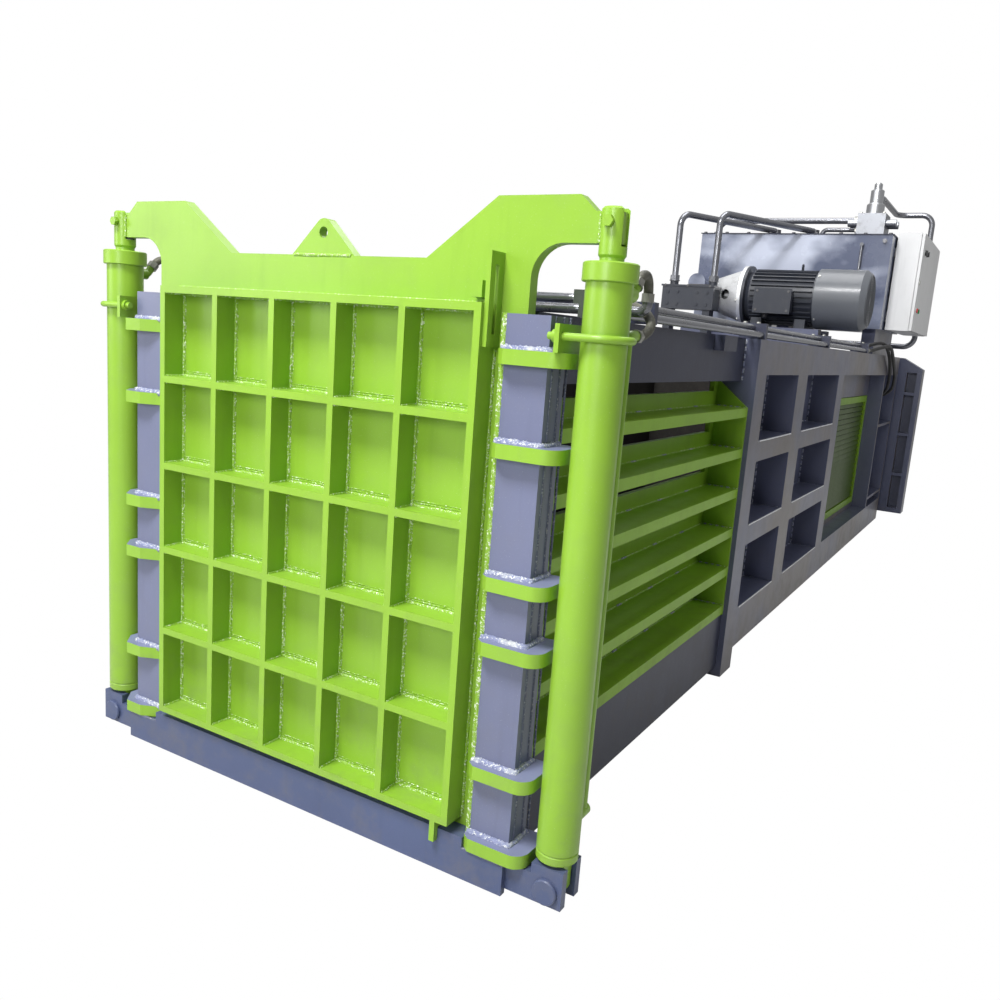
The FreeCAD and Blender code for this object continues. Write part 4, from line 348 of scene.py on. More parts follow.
def sprayed_paint(
    name, colour, peel, gloss=0.3, cloud=0.16, grime=0.35, tops=None, sheen_side=None, inner=None,
    panel=None, mirror=0.4, coat=0.12,
):
    """Sprayed enamel: cloudy tone, orange peel, runs, dust rubbed in and grime in the low places.

    tops is the colour of what faces up, the right-side colour is painted shade and reflection on
    what faces right, inner is how far the chamber's inside reaches, painted near black as worn
    steel in painted shade, and panel a rectangle in Y and Z painted darker as shade.
    """
    recipe = Recipe(name)
    place = recipe.place()
    cloudy = recipe.noise(place, 2.3, 4.0)
    patchy = recipe.noise(place, 11.0, 6.0, 0.65)
    runs = recipe.noise(recipe.scaled(place, (26.0, 26.0, 2.2)), 1.0, 4.0)
    fine = recipe.noise(place, 160.0, 2.0)
    specks = recipe.noise(place, 420.0, 1.0).step(0.72, 0.8)
    base = recipe.mix(cloudy, shade(colour, 1 - cloud), shade(colour, 1 + cloud))
    base = recipe.mix(runs.step(0.55, 0.8) * 0.35, base, shade(colour, 0.72))
    # Painted shade and reflection: what faces right is mixed, in patches, towards a darker brownish
    # tone.
    if sheen_side is not None:
        right_side_shade_mask = recipe.facing("X").step(0.6, 0.9) * cloudy.step(0.3, 0.6)
        base = recipe.mix(right_side_shade_mask, base, sheen_side)
    if tops is not None:
        base = recipe.mix(recipe.facing("Z").step(0.6, 0.8), base, tops)
    # Painted shade: inside the panel rectangle the paint is much darker.
    if panel is not None:
        base = recipe.mix(recipe.window(*panel), base, shade(colour, 0.26))
    low = 1 - recipe.height().step(0.02, 0.5)
    dirt = (patchy.step(0.48, 0.72) * (0.25 + 0.75 * low) * grime).clamped()
    base = recipe.mix(dirt, base, DIRT)
    base = recipe.mix(specks * 0.25, base, PALE_SPECKS)
    rough = gloss + 0.14 * patchy + 0.25 * dirt
    # Inside the chamber the paint goes near black: worn steel and painted shade.
    if inner is not None:
        worn_and_shaded = recipe.inside(*inner)
        base = recipe.mix(worn_and_shaded, base, recipe.mix(patchy, WORN_DARK_AND_SHADED, WORN_PALE_AND_SHADED))
        rough = rough + 0.45 * worn_and_shaded
    bumps = recipe.bump(fine * 0.5 + runs * 0.35 + patchy * 0.6, peel)
    fixed = {"Coat_Weight": coat, "Coat_Roughness": 0.12, "Specular_IOR_Level": mirror}
    return recipe.finish(base, rough, bumps, **fixed)


def gloss_tank(name, colour, peel):
    """Gloss over uneven sheet: pale clouds where its front mirrors the hall, dark ones between."""
    recipe = Recipe(name)
    place = recipe.place()
    drift = recipe.noise(recipe.scaled(place, (1.0, 1.0, 1.6)), 1.9, 3.0, 0.45)
    ripples = recipe.noise(place, 6.5, 5.0, 0.6)
    fine = recipe.noise(place, 120.0, 2.0)
    clouds = (drift + 0.12 * ripples).step(0.50, 0.68)
    low = 1 - recipe.height().step(1.75, 2.15)
    front = 1 - recipe.facing("Y").step(-0.9, -0.5)
    seen = clouds * (1 - 0.75 * low) * (0.12 + 0.88 * front)
    base = recipe.mix(seen, shade(colour, 0.8), MIRRORED_SKY)
    bumps = recipe.bump(ripples * 2.2 + fine * 0.25, peel)
    fixed = {"Coat_Weight": 0.5, "Coat_Roughness": 0.06}
    return recipe.finish(base, 0.16 + 0.2 * ripples, bumps, **fixed)


def weld_metal(name, colour, paint, painted, spots=0.85):
    """Weld bead, sprayed over in part, with pale spatter whose near-white specks are painted
    glints.
    """
    recipe = Recipe(name)
    place = recipe.place()
    grains = recipe.noise(place, 170.0, 4.0, 0.7)
    splash = recipe.noise(place, 16.0, 4.0, 0.6)
    spray = splash.step(0.5 - painted * 0.4, 0.72 - painted * 0.4)
    # Spatter specks painted near white as glints; spots sets how strong they are.
    spatter_and_glints = grains.step(0.54, 0.6)
    base = recipe.mix(spatter_and_glints * spots, recipe.mix(spray, colour, paint), SPATTER_AND_GLINT)
    metallic = (0.55 - 0.5 * spray) * (1 - spatter_and_glints)
    return recipe.finish(base, 0.22 + 0.25 * grains, recipe.bump(grains, 0.005), metallic)


def worked_metal(
    name, colour, roughness, metallic=1.0, streaks=(4.0, 4.0, 60.0), stain=(0.12, 0.10, 0.08)
):
    """Machined or cast metal with fine tool marks and oil stains."""
    recipe = Recipe(name)
    place = recipe.place()
    marks = recipe.noise(recipe.scaled(place, streaks), 6.0, 3.0)
    oily = recipe.noise(place, 18.0, 5.0, 0.6).step(0.55, 0.75)
    base = recipe.mix(marks, shade(colour, 0.86), shade(colour, 1.1))
    base = recipe.mix(oily * 0.35, base, stain)
    rough = roughness + 0.16 * marks + 0.1 * oily
    return recipe.finish(base, rough, recipe.bump(marks, 0.0003), metallic)


def half_painted(name, colour, peel, level):
    """Paint above a height, chromed rod below it."""
    recipe = Recipe(name)
    place = recipe.place()
    cloudy = recipe.noise(place, 2.3, 4.0)
    bare = 1 - recipe.height().step(level, level + 0.002)
    base = recipe.mix(cloudy, shade(colour, 0.84), shade(colour, 1.16))
    base = recipe.mix(bare, base, CHROME)
    rough = 0.3 + 0.08 * cloudy - 0.22 * bare
    return recipe.finish(base, rough, recipe.bump(recipe.noise(place, 160.0, 2.0), peel), bare)


def moulded(name, colour, roughness=0.42):
    """Moulded plastic with a fine spark-eroded grain."""
    recipe = Recipe(name)
    place = recipe.place()
    texture = recipe.noise(place, 900.0, 2.0)
    handled = recipe.noise(place, 40.0, 3.0)
    base = recipe.mix(handled, shade(colour, 0.85), shade(colour, 1.12))
    return recipe.finish(base, roughness + 0.12 * handled, recipe.bump(texture, 0.00015))


def hose_rubber(name, cover, dusty):
    """Oil hose: fabric-wrapped cover with dust on it."""
    recipe = Recipe(name)
    place = recipe.place()
    wrap = recipe.add(
        "ShaderNodeTexWave",
        {"wave_type": "BANDS", "bands_direction": "DIAGONAL"},
        {"Vector": place, "Scale": 150.0, "Distortion": 1.5, "Detail": 2.0},
    )[1]
    dust = recipe.noise(place, 22.0, 5.0, 0.65)
    base = recipe.mix(dust.step(0.4, 0.7), cover, dusty)
    return recipe.finish(base, 0.5 + 0.2 * dust, recipe.bump(wrap * 0.5 + dust, 0.0006))


FINISHES = {}  # materials, by finish


def mix_finishes(paint, weld):
    """Make every material."""
    green, grey, peel, bead = paint.green, paint.grey, paint.peel, weld.colour
    # The door's slats, inside this frame, are painted darker as shade.
    bar = Vector((0, DOOR_BAR, DOOR_BAR))
    slats = (box("access_door")[0] + bar, box("access_door")[1] - bar)
    # Where the chamber's inside, painted near black as worn steel and as shade, begins.
    inner = (box("floor_plate")[1].x - 0.019, box("chamber_roof")[0].z + 0.001)
    faint = {"mirror": 0.15, "coat": 0.0}
    dull = {"mirror": 0.1, "coat": 0.0}

    def paints(name, colour, gloss=0.3, cloud=0.16, **more):
        return sprayed_paint(name, colour, peel, gloss, cloud, **more)

    coarse, fine = (30.0, 30.0, 30.0), (50.0, 50.0, 50.0)
    FINISHES.update(
        green=paints("green_enamel", green),
        rod=half_painted("rod_enamel", green, peel, box("gland_caps")[1].z - 0.004),
        # The lugs' grey top paint is real, lightened further as painted light on the lit tops.
        lug=paints("lug_enamel", green, tops=shade(grey, 1.8)),
        shelf=paints("shelf_enamel", green, grime=0.5, inner=inner, **faint),
        # The door's green is a little darker, and its slats much darker, as painted shade.
        door=paints("door_enamel", shade(green, 0.85), 0.26, panel=slats, **faint),
        # The columns take the frame's grey lightened as painted light, a lit copy of it.
        column=paints("column_enamel", shade(grey, 1.4), cloud=0.12),
        press=paints("press_enamel", shade(grey, 1.0), cloud=0.22, inner=inner, **dull),
        # The frame's grey, with a brownish painted shade and reflection on what faces right.
        grey=paints("grey_enamel", grey, 0.28, 0.22, sheen_side=(0.105, 0.092, 0.088)),
        foot=paints("foot_enamel", (0.066, 0.086, 0.170), cloud=0.2),
        # Painted shade: the frame's grey darkened for the beams, pipe clamps and tank lid.
        dark_grey=paints("shaded_enamel", shade(grey, 0.4), 0.26, 0.25, mirror=0.2, coat=0.0),
        # Floor plate and ram: near-black worn plate, darkened further as painted shade.
        floor=paints("rubbed_plate", (0.026, 0.024, 0.022), 0.6, **dull),
        pipe=worked_metal("drawn_tube", (0.20, 0.205, 0.225), 0.14, 0.7, (20.0, 20.0, 20.0)),
        tank=gloss_tank("tank_enamel", paint.tank, peel),
        cabinet=paints("cabinet_coat", paint.cabinet, 0.36, 0.05, grime=0.15),
        motor=paints("motor_enamel", paint.motor, 0.34, grime=0.3),
        cowl=paints("cowl_enamel", paint.cowl, grime=0.2),
        # Pale cast metal, lightened further as a painted highlight.
        cast=worked_metal("cast_housing", (0.86, 0.87, 0.88), 0.36, 0.7, coarse),
        manifold=worked_metal("milled_block", (0.30, 0.31, 0.335), 0.3, 0.85, coarse),
        steel=worked_metal("turned_steel", (0.52, 0.53, 0.55), 0.26),
        zinc=worked_metal("zinc_plate", (0.60, 0.60, 0.56), 0.3, 0.9, fine),
        dull_zinc=worked_metal("dusty_zinc", (0.30, 0.30, 0.27), 0.42, 0.8, fine),
        dark_steel=worked_metal("oiled_steel", (0.12, 0.12, 0.125), 0.34),
        chrome=worked_metal("chromed_rod", CHROME, 0.08, 1.0, (3.0, 60.0, 3.0), OLD_OIL),
        rubber=hose_rubber("oil_hose", (0.045, 0.045, 0.034), (0.17, 0.165, 0.12)),
        black_rubber=hose_rubber("new_hose", (0.012, 0.012, 0.013), (0.035, 0.034, 0.032)),
        black=moulded("black_moulding", (0.018, 0.018, 0.020)),
        white=moulded("white_mark", (0.80, 0.80, 0.78)),
        red=moulded("red_moulding", (0.52, 0.012, 0.010), 0.26),
        go=moulded("green_moulding", (0.012, 0.27, 0.06), 0.26),
        green_weld=weld_metal("sprayed_bead", bead, shade(green, 1.15), 1.0),
        # Bright metal laid along the window edges as a painted highlight.
        edge=worked_metal("rubbed_edge", (0.86, 0.88, 0.90), 0.25, 0.5),
        bare_weld=weld_metal("bare_bead", bead, shade(grey, 2.4), 0.6),
        grey_weld=weld_metal("grey_bead", shade(bead, 0.5), grey, 1.0, 0.22),
    )


FINISH_OF = {
    "green": (
        "gate_plate gate_ribs lifting_eye switch_bracket gate_foot_tab rod_bolts "
        "gate_cylinders gland_caps cylinder_hoops hoop_brackets"
    ),
    "rod": "gate_rods",
    "door": "access_door",
    "column": "guide_columns",
    "press": "press_walls chamber_roof rear_roof",
    "lug": "column_lugs",
    "shelf": "chamber_walls wall_shelves left_bay_cover",
    "grey": (
        "right_side_frame left_side_frame foot_beams access_door_hinges "
        "rear_crosshead main_cylinder motor_stool tank_stand"
    ),
    # These take the frame's grey darkened as painted shade.
    "dark_grey": "upper_beams lower_beams pipe_clamps tank_lid",
    "floor": "floor_plate ram",
    "pipe": "power_pipes gate_pipes level_gauge",
    "tank": "oil_tank",
    "foot": "front_sill foot_plates cylinder_foot_pins",
    "cabinet": "control_cabinet cabinet_door",
    "motor": "motor_body terminal_box valve_block",
    "cowl": "fan_cowl",
    "cast": "bell_housing",
    "manifold": "valve_manifold",
    "dark_steel": "pump",
    "steel": "motor_rotor relief_valve",
    "chrome": "main_rod filler_cap",
    "rubber": "cylinder_hoses",
    "black_rubber": "rear_hoses",
    "black": "power_knob mode_knob",
    "red": "stop_button",
    "go": "start_button",
}


# ---------------------------------------------------------------- grown and turned pieces


def new_mesh(name, points, edges=(), faces=()):
    mesh = bpy.data.meshes.new(name)
    mesh.from_pydata([tuple(point) for point in points], edges, faces)
    return mesh


def new_object(name, data):
    piece = bpy.data.objects.new(name, data)
    bpy.context.collection.objects.link(piece)
    return piece


class Grower(Wiring):
    """A Geometry Nodes tree with named inputs, run once and turned into a plain mesh."""

    def __init__(self, name, *sizes):
        super().__init__(bpy.data.node_groups.new(name, "GeometryNodeTree"))
        face = self.tree.interface
        face.new_socket("Geometry", in_out="INPUT", socket_type="NodeSocketGeometry")
        kinds = {"Sides": "NodeSocketInt", "Finish": "NodeSocketMaterial"}
        self.labels = {}
        for label in sizes + ("Finish",):
            kind = kinds.get(label, "NodeSocketFloat")
            socket = face.new_socket(label, in_out="INPUT", socket_type=kind)
            self.labels[label] = socket.identifier
        face.new_socket("Geometry", in_out="OUTPUT", socket_type="NodeSocketGeometry")
        self.given = self.add("NodeGroupInput")

    def node(self, kind, *first, **named):
        """A geometry node's output, from its first inputs in order and the others by name."""
        inputs = dict(enumerate(first))
        inputs.update({label.replace("_", " "): value for label, value in named.items()})
        return self.add("GeometryNode" + kind, {}, inputs)[0]

    def end(self, geometry):
        real = self.node("RealizeInstances", geometry)
        dressed = self.node("SetMaterial", real, Material=self.given["Finish"])
        self.add("NodeGroupOutput", {}, {0: dressed})
        return self

    def run(self, mesh, body, finish, values):
        piece = new_object(mesh.name, mesh)
        modifier = piece.modifiers.new("grow", "NODES")
        modifier.node_group = self.tree
        modifier[self.labels["Finish"]] = FINISHES[finish]
        for label, value in values.items():
            modifier[self.labels[label]] = value
        graph = bpy.context.evaluated_depsgraph_get()
        grown = bpy.data.meshes.new_from_object(piece.evaluated_get(graph))
        piece.modifiers.clear()
        piece.data = grown
        grown.name = piece.name
        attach(piece, body)


def bead_grower():
    """A lumpy round bead along every line of the mesh."""
    grower = Grower("bead_along_lines", "Radius", "Step", "Lumps", "Grain", "Sides")
    given = grower.given
    curve = grower.node("MeshToCurve", given["Geometry"])
    inputs = {"Curve": curve, "Length": given["Step"]}
    even = grower.add("GeometryNodeResampleCurve", {"mode": "LENGTH"}, inputs)[0]
    inputs = {"Resolution": given["Sides"], "Radius": given["Radius"]}
    ring = grower.add("GeometryNodeCurvePrimitiveCircle", {"mode": "RADIUS"}, inputs)[0]
    tube = grower.node("CurveToMesh", even, ring, Fill_Caps=True)
    inputs = {"Vector": grower.node("InputPosition"), "Scale": given["Grain"], "Detail": 2.0}
    reach = (grower.add("ShaderNodeTexNoise", {}, inputs)[0] - 0.5) * given["Lumps"]
    inputs = {0: grower.node("InputNormal"), "Scale": reach}
    push = grower.add("ShaderNodeVectorMath", {"operation": "SCALE"}, inputs)[0]
    return grower.end(grower.node("SetShadeSmooth", grower.node("SetPosition", tube, Offset=push)))


def fastener_grower():
    """A collar, a hexagon and a round tip on every point, standing along the point's direction."""
    grower = Grower(
        "fastener_on_points", "Hexagon", "Height", "Collar", "Collar height", "Tip", "Tip height"
    )
    given = grower.given

    def disc(sides, radius, height, base):
        body = grower.node("MeshCylinder", Vertices=sides, Radius=radius, Depth=height)
        shift = grower.add("ShaderNodeCombineXYZ", {}, {2: height * 0.5 + base})[0]
        return grower.node("Transform", body, Translation=shift)

    collar_top = given["Collar height"]
    collar = disc(18, given["Collar"], collar_top, 0.0)
    head = disc(6, given["Hexagon"], given["Height"], collar_top)
    tip = disc(12, given["Tip"], given["Tip height"], collar_top + given["Height"])
    whole = grower.node("JoinGeometry", [collar, head, tip])
    points = grower.node("MeshToPoints", given["Geometry"])
    settings = {"data_type": "FLOAT_VECTOR"}
    facing = grower.add("GeometryNodeInputNamedAttribute", settings, {"Name": "facing"})[0]
    turn = grower.add("FunctionNodeAlignRotationToVector", {"axis": "Z"}, {"Vector": facing})[0]
    return grower.end(grower.node("InstanceOnPoints", points, Instance=whole, Rotation=turn))


GROWERS = {}  # the trees for beads and fasteners


def beads(name, body, lines, radius, finish, lumps, step, grain=95.0, sides=6):
    """Grow a bead along open runs of points."""
    points, edges = [], []
    for line in lines:
        first = len(points)
        points += line
        edges += [(start, start + 1) for start in range(first, first + len(line) - 1)]
    values = {"Radius": radius, "Step": step, "Lumps": lumps, "Grain": grain, "Sides": sides}
    GROWERS["bead"].run(new_mesh(name, points, edges), body, finish, values)


def weld_run(name, body, lines, radius, finish, lumps=1.0, step=1.0, grain=95.0, sides=6):
    """Beads whose lumps and steps are so many times the weld settings."""
    weld = bpy.context.scene.baler_weld
    beads(name, body, lines, radius, finish, weld.lumps * lumps, weld.step * step, grain, sides)


def fasteners(name, spots, size, finish, height=0.62, collar=1.25, tip=0.0):
    """Grow a fastener on points of the frame that each know the way they face."""
    mesh = new_mesh(name, [place for place, way in spots])
    facing = mesh.attributes.new("facing", "FLOAT_VECTOR", "POINT")
    for row, (place, way) in zip(facing.data, spots):
        row.vector = way
    values = {
        "Hexagon": size,
        "Height": size * height,
        "Collar": size * collar,
        "Collar height": size * 0.18,
        "Tip": size * 0.45 if tip else 0.0001,
        "Tip height": size * tip if tip else 0.0001,
    }
    GROWERS["fastener"].run(mesh, "frame", finish, values)


def turns(count, phase=0.0):
    """Cosines and sines of evenly spaced angles, once round."""
    angles = [2 * math.pi * step / count + phase for step in range(count)]
    return [(math.cos(angle), math.sin(angle)) for angle in angles]


def lathe(name, profile, foot, direction, finish, body, sides=40):
    """A turned piece: radius and height pairs about an axis."""
    points, faces = [], []
    turn = Vector(UP).rotation_difference(Vector(direction)).to_matrix()
    for radius, height in profile:
        for x, y in turns(sides):
            points.append(Vector(foot) + turn @ Vector((radius * x, radius * y, height)))
    for row in range(len(profile) - 1):
        low, high = row * sides, (row + 1) * sides
        for step in range(sides):
            ahead = (step + 1) % sides
            faces.append((low + step, low + ahead, high + ahead, high + step))
    faces.append(tuple(reversed(range(sides))))
    faces.append(tuple((len(profile) - 1) * sides + step for step in range(sides)))
    mesh = new_mesh(name, points, (), faces)
    for face in mesh.polygons:
        face.use_smooth = len(face.vertices) == 4
    mesh.materials.append(FINISHES[finish])
    piece = new_object(name, mesh)
    soften = piece.modifiers.new("soften", "BEVEL")
    soften.width = 0.0008
    soften.segments = 2
    soften.limit_method = "ANGLE"
    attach(piece, body)


# ---------------------------------------------------------------- runs and spots


def ribs_between(start, end):
    """Middles of the crate's rib plates along one way."""
    span = end - start - RIB_PLATE
    return [start + RIB_PLATE / 2 + step * span / CELLS for step in range(CELLS + 1)]


def round_corners(corners):
    """The straight runs from each corner to the next, and home."""
    return [[start, end] for start, end in zip(corners, corners[1:] + corners[:1])]


def upright(x, y, base, top):
    return [(x, y, base), (x, y, top)]


def stitches(start, end, dash=0.022, gap=0.014):
    """Short runs, one after another, along a straight seam."""
    start, end = Vector(start), Vector(end)
    way = (end - start).normalized()
    pitch = dash + gap
    count = int(((end - start).length + gap) / pitch)
    return [
        [start + way * step * pitch, start + way * (step * pitch + dash)] for step in range(count)
    ]


def rim(low, high, z, inset, pitch):
    """Evenly spaced points round a rectangle at one height, facing up."""
    spots = []
    x0, x1, y0, y1 = low.x + inset, high.x - inset, low.y + inset, high.y - inset
    for start, end in round_corners([(x0, y0), (x1, y0), (x1, y1), (x0, y1)]):
        count = max(1, round(math.dist(start, end) / pitch))
        for step in range(count):
            share = step / count
            x = start[0] + (end[0] - start[0]) * share
            y = start[1] + (end[1] - start[1]) * share
            spots.append(((x, y, z), UP))
    return spots


def circle(centre, axis, radius, count, way, phase=0.0):
    """Points round an axis along X or Y."""
    spots = []
    for a, b in turns(count, phase):
        shift = {"X": (0, a, b), "Y": (a, 0, b)}[axis]
        spots.append((Vector(centre) + radius * Vector(shift), way))
    return spots


def grid(xs, ys, zs, way):
    """A spot at every crossing, all facing one way."""
    return [((x, y, z), way) for y in ys for x in xs for z in zs]


# ---------------------------------------------------------------- operators


class BALER_OT_paint(bpy.types.Operator):
    """Give every node its paint, metal, rubber or plastic"""

    bl_idname = "baler.paint"
    bl_label = "Paint the machine"

    def execute(self, context):
        scene = context.scene
        mix_finishes(scene.baler_paint, scene.baler_weld)
        GROWERS.update(bead=bead_grower(), fastener=fastener_grower())
        for finish, names in FINISH_OF.items():
            for name in names.split():
                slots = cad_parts[name].data.materials
                slots.clear()
                slots.append(FINISHES[finish])
        missed = set(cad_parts) - set(" ".join(FINISH_OF.values()).split())
        if missed:
            raise RuntimeError("no finish for " + ", ".join(sorted(missed)))
        return {"FINISHED"}


class BALER_OT_gate_welds(bpy.types.Operator):
    """Lay the beads inside the gate's cells, round its crate and at its eye and forks"""

    bl_idname = "baler.gate_welds"
    bl_label = "Weld the gate"

    def execute(self, context):
        light = context.scene.baler_weld.light
        low, high = box("gate_ribs")
        plate, half = high.y, RIB_PLATE / 2
        across, up = ribs_between(low.x, high.x), ribs_between(low.z, high.z)
        flat, corners, runs, drips = [], [], [], []
        for left, right in zip(across, across[1:]):
            x0, x1 = left + half, right - half
            for base, top in zip(up, up[1:]):
                z0, z1 = base + half, top - half
                spots = [(x0, z0), (x1, z0), (x1, z1), (x0, z1)]
                flat += round_corners([(x, plate, z) for x, z in spots])
                corners += [[(x, low.y + 0.004, z), (x, plate, z)] for x, z in spots]
                for lift in (0.009, 0.015):
                    runs.append([(x0 + 0.004, plate, z0 + lift), (x1 - 0.004, plate, z0 + lift)])
                drips.append(upright(x0 + 0.007, plate, base + 0.03, top - 0.03))
        weld_run("cell_beads", "gate", flat, light, "green_weld", lumps=1.6, step=0.75, grain=150.0)
        weld_run("cell_spatter", "gate", runs + drips, 0.0012, "green_weld", 2.4, 0.5, grain=210.0)
        weld_run("corner_beads", "gate", corners, light * 0.8, "green_weld")

        joint = box("gate_rods")[1].x - FORK_JOINT
        arm = box("gate_plate")[0].y - 0.001
        forks = [upright(side * joint, arm, *FORK_SEAM) for side in SIDES]
        weld_run("fork_beads", "gate", forks, light * 0.7, "green_weld", 2.0, 0.5, grain=210.0)

        edge = [upright(x, plate, low.z, high.z) for x in (low.x, high.x)]
        edge += [[(low.x, plate, z), (high.x, plate, z)] for z in (high.z, low.z)]
        eye_low, eye_high = box("lifting_eye")
        for y in (eye_low.y, eye_high.y):
            edge.append([(eye_low.x + 0.01, y, eye_low.z), (eye_high.x - 0.01, y, eye_low.z)])
        weld_run("edge_beads", "gate", edge, light, "green_weld")
        return {"FINISHED"}


def column_runs():
    """Rough runs over the lugs, strips beside the gate and seams between the plates."""
    low, high = box("guide_columns")
    inner, outer = box("front_sill")[1].x - SILL_END, high.x
    thick = LUG_TOPS[0] - box("column_lugs")[0].z
    free = zip([low.z] + LUG_TOPS, [top - thick for top in LUG_TOPS] + [high.z])
    spans = [(base, top) for base, top in free if top - base > 0.03]
    rough, strip, seams = [], [], []
    for side in SIDES:
        a, b = side * inner, side * outer
        rough += [[(a, low.y, top), (b, low.y, top), (b, high.y, top)] for top in LUG_TOPS]
        strip += [upright(a, low.y + depth, low.z, high.z) for depth in STRIP_DEPTHS]
        for depth in COLUMN_JOINTS:
            seams += [upright(b, low.y + depth, base, top) for base, top in spans]
    return rough, strip, seams


def shelf_runs():
    """Seams of the shelves at the chamber's wall and at their end plates."""
    low, high = box("wall_shelves")
    end = high.y - END_PLATE
    runs = []
    for side in SIDES:
        wall = side * CHAMBER_WALL
        for top in SHELF_TOPS:
            runs.append([(wall, end, top), (side * high.x, end, top)])
            runs.append([(wall, low.y, top), (wall, end, top)])
    return runs


def window_runs():
    """Painted seams, bare stitches and bright lines of painted highlight along the bottom edges of
    the side frames' windows.
    """
    low, high = box("right_side_frame")
    first = low.y + FIRST_WINDOW
    painted, dashes, shine = [], [], []
    for side in SIDES:
        deep, outer = side * PRESS_WALL, side * high.x
        wall, corner = side * (PRESS_WALL + 0.001), side * (PRESS_WALL + 0.003)
        for start, end in ((first + start, first + end) for start, end in WINDOW_BAYS):
            for base, top in WINDOW_ROWS:
                spots = [(start, base), (end, base), (end, top), (start, top)]
                painted += round_corners([(wall, y, z) for y, z in spots])
                painted += [[(deep, y, z), (outer, y, z)] for y, z in spots]
                dashes += stitches(*upright(corner, end - 0.003, base, top))
                foot = base + 0.003
                dashes += stitches((corner, start, foot), (corner, end, foot), dash=0.03, gap=0.04)
                # A bright line along the window's bottom edge, as a painted highlight.
                shine.append([(outer, start + 0.01, base), (outer, end - 0.01, base)])
    return painted, dashes, shine


def sill_runs():
    """Seams where the foot plates meet the ends of the sill."""
    low, high = box("front_sill")
    inner = high.x - SILL_END
    return [
        [(-side * inner, low.y + 0.004, SILL_SEAM), (-side * high.x, low.y + 0.002, SILL_SEAM)]
        for side in SIDES
    ]


def beam_and_shelf_dashes():
    """Stitches at the upper beams' joints and along the shelves."""
    frame_low, frame_high = box("right_side_frame")
    low, high = box("wall_shelves")
    end = high.y - END_PLATE
    dashes = []
    for side in SIDES:
        joint = side * (box("upper_beams")[1].x - BEAM_JOINT)
        run = upright(joint, frame_low.y, BEAM_SEAM, frame_high.z - 0.004)
        dashes += stitches(*run, dash=0.018, gap=0.012)
        near, far, wall = side * 0.56, side * (high.x - 0.01), side * 0.552
        back = end - 0.002
        for top in SHELF_TOPS:
            dashes += stitches((near, back, top), (far, back, top), dash=0.012)
            along = (wall, low.y + 0.3, top), (wall, end - 0.1, top)
            dashes += stitches(*along, dash=0.04, gap=0.26)
    return dashes


class BALER_OT_frame_welds(bpy.types.Operator):
    """Lay the rough beads at the lugs and columns and the painted ones in the frame"""

    bl_idname = "baler.frame_welds"
    bl_label = "Weld the frame"

    def execute(self, context):
        heavy, light = context.scene.baler_weld.heavy, context.scene.baler_weld.light
        rough, strip, seams = column_runs()
        painted, dashes, shine = window_runs()
        painted += sill_runs()
        dashes += beam_and_shelf_dashes()
        shelves = shelf_runs()
        weld_run("lug_beads", "frame", rough, heavy, "bare_weld", 3.2, 0.5, grain=230.0, sides=8)
        weld_run("column_strip", "frame", strip, heavy, "green_weld", lumps=1.5, grain=110.0)
        weld_run("shelf_beads", "frame", shelves, light * 0.7, "green_weld", lumps=0.8)
        weld_run("column_seams", "frame", seams, light * 0.6, "grey_weld", lumps=0.9)
        weld_run("frame_beads", "frame", painted, light * 0.75, "grey_weld", lumps=0.6)
        weld_run("stitch_beads", "frame", dashes, light * 0.8, "bare_weld", lumps=0.9, step=0.75)
        # Bright lines on the window edges: painted highlights.
        beads("edge_shine", "frame", shine, 0.0032, "edge", lumps=0.0012, step=0.03, grain=30.0)
        return {"FINISHED"}


def screw_motor(size):
    """Bolts of the bell housing and screws of the cowl."""
    low, high = box("bell_housing")
    y, z = middle("bell_housing").yz
    ring = (high.z - low.z) / 2 - 0.016
    spots = circle((high.x - 0.022, y, z), "X", ring, 8, LEFT, phase=0.2)
    spots += circle((low.x, y, z), "X", 0.084, 4, LEFT, phase=0.78)
    fasteners("flange_bolts", spots, size * 0.95, "zinc")

    cowl_low, cowl_high = box("fan_cowl")
    radius = (cowl_high.z - cowl_low.z) / 2
    spots = []
    for across, up in turns(4, math.radians(45)):
        way = Vector((0, across, up))
        spots.append((Vector((cowl_low.x + 0.014, y, z)) + way * radius, way))
    fasteners("cowl_screws", spots, size * 0.5, "zinc")


def screw_blocks(size):
    """Screws of the terminal box, valve block and manifold."""
    low, high = box("terminal_box")
    corners = (low.x + 0.02, high.x - 0.02), [low.y], (low.z + 0.02, high.z - 0.02)
    spots = grid(*corners, AHEAD)
    low, high = box("valve_block")
    across = (low.x + 0.03, high.x - 0.03, middle("valve_block").x)
    spots += grid(across, [low.y], [BLOCK_SCREWS], AHEAD)
    fasteners("cover_screws", spots, size * 0.55, "dark_steel")

    across = (low.x + 0.05, low.x + 0.12, high.x - 0.12, high.x - 0.05)
    spots = grid(across, [low.y + 0.006], BLOCK_PLUGS, AHEAD)
    fasteners("block_plugs", spots, size * 0.8, "motor", height=0.4)

    low, high = box("valve_manifold")
    near, far = Vector((low.x + 0.07, low.y, 0)), Vector((high.x - 0.07, high.y, 0))
    spots = rim(near, far, high.z, inset=0.018, pitch=0.4)
    fasteners("manifold_bolts", spots, size * 0.9, "zinc")


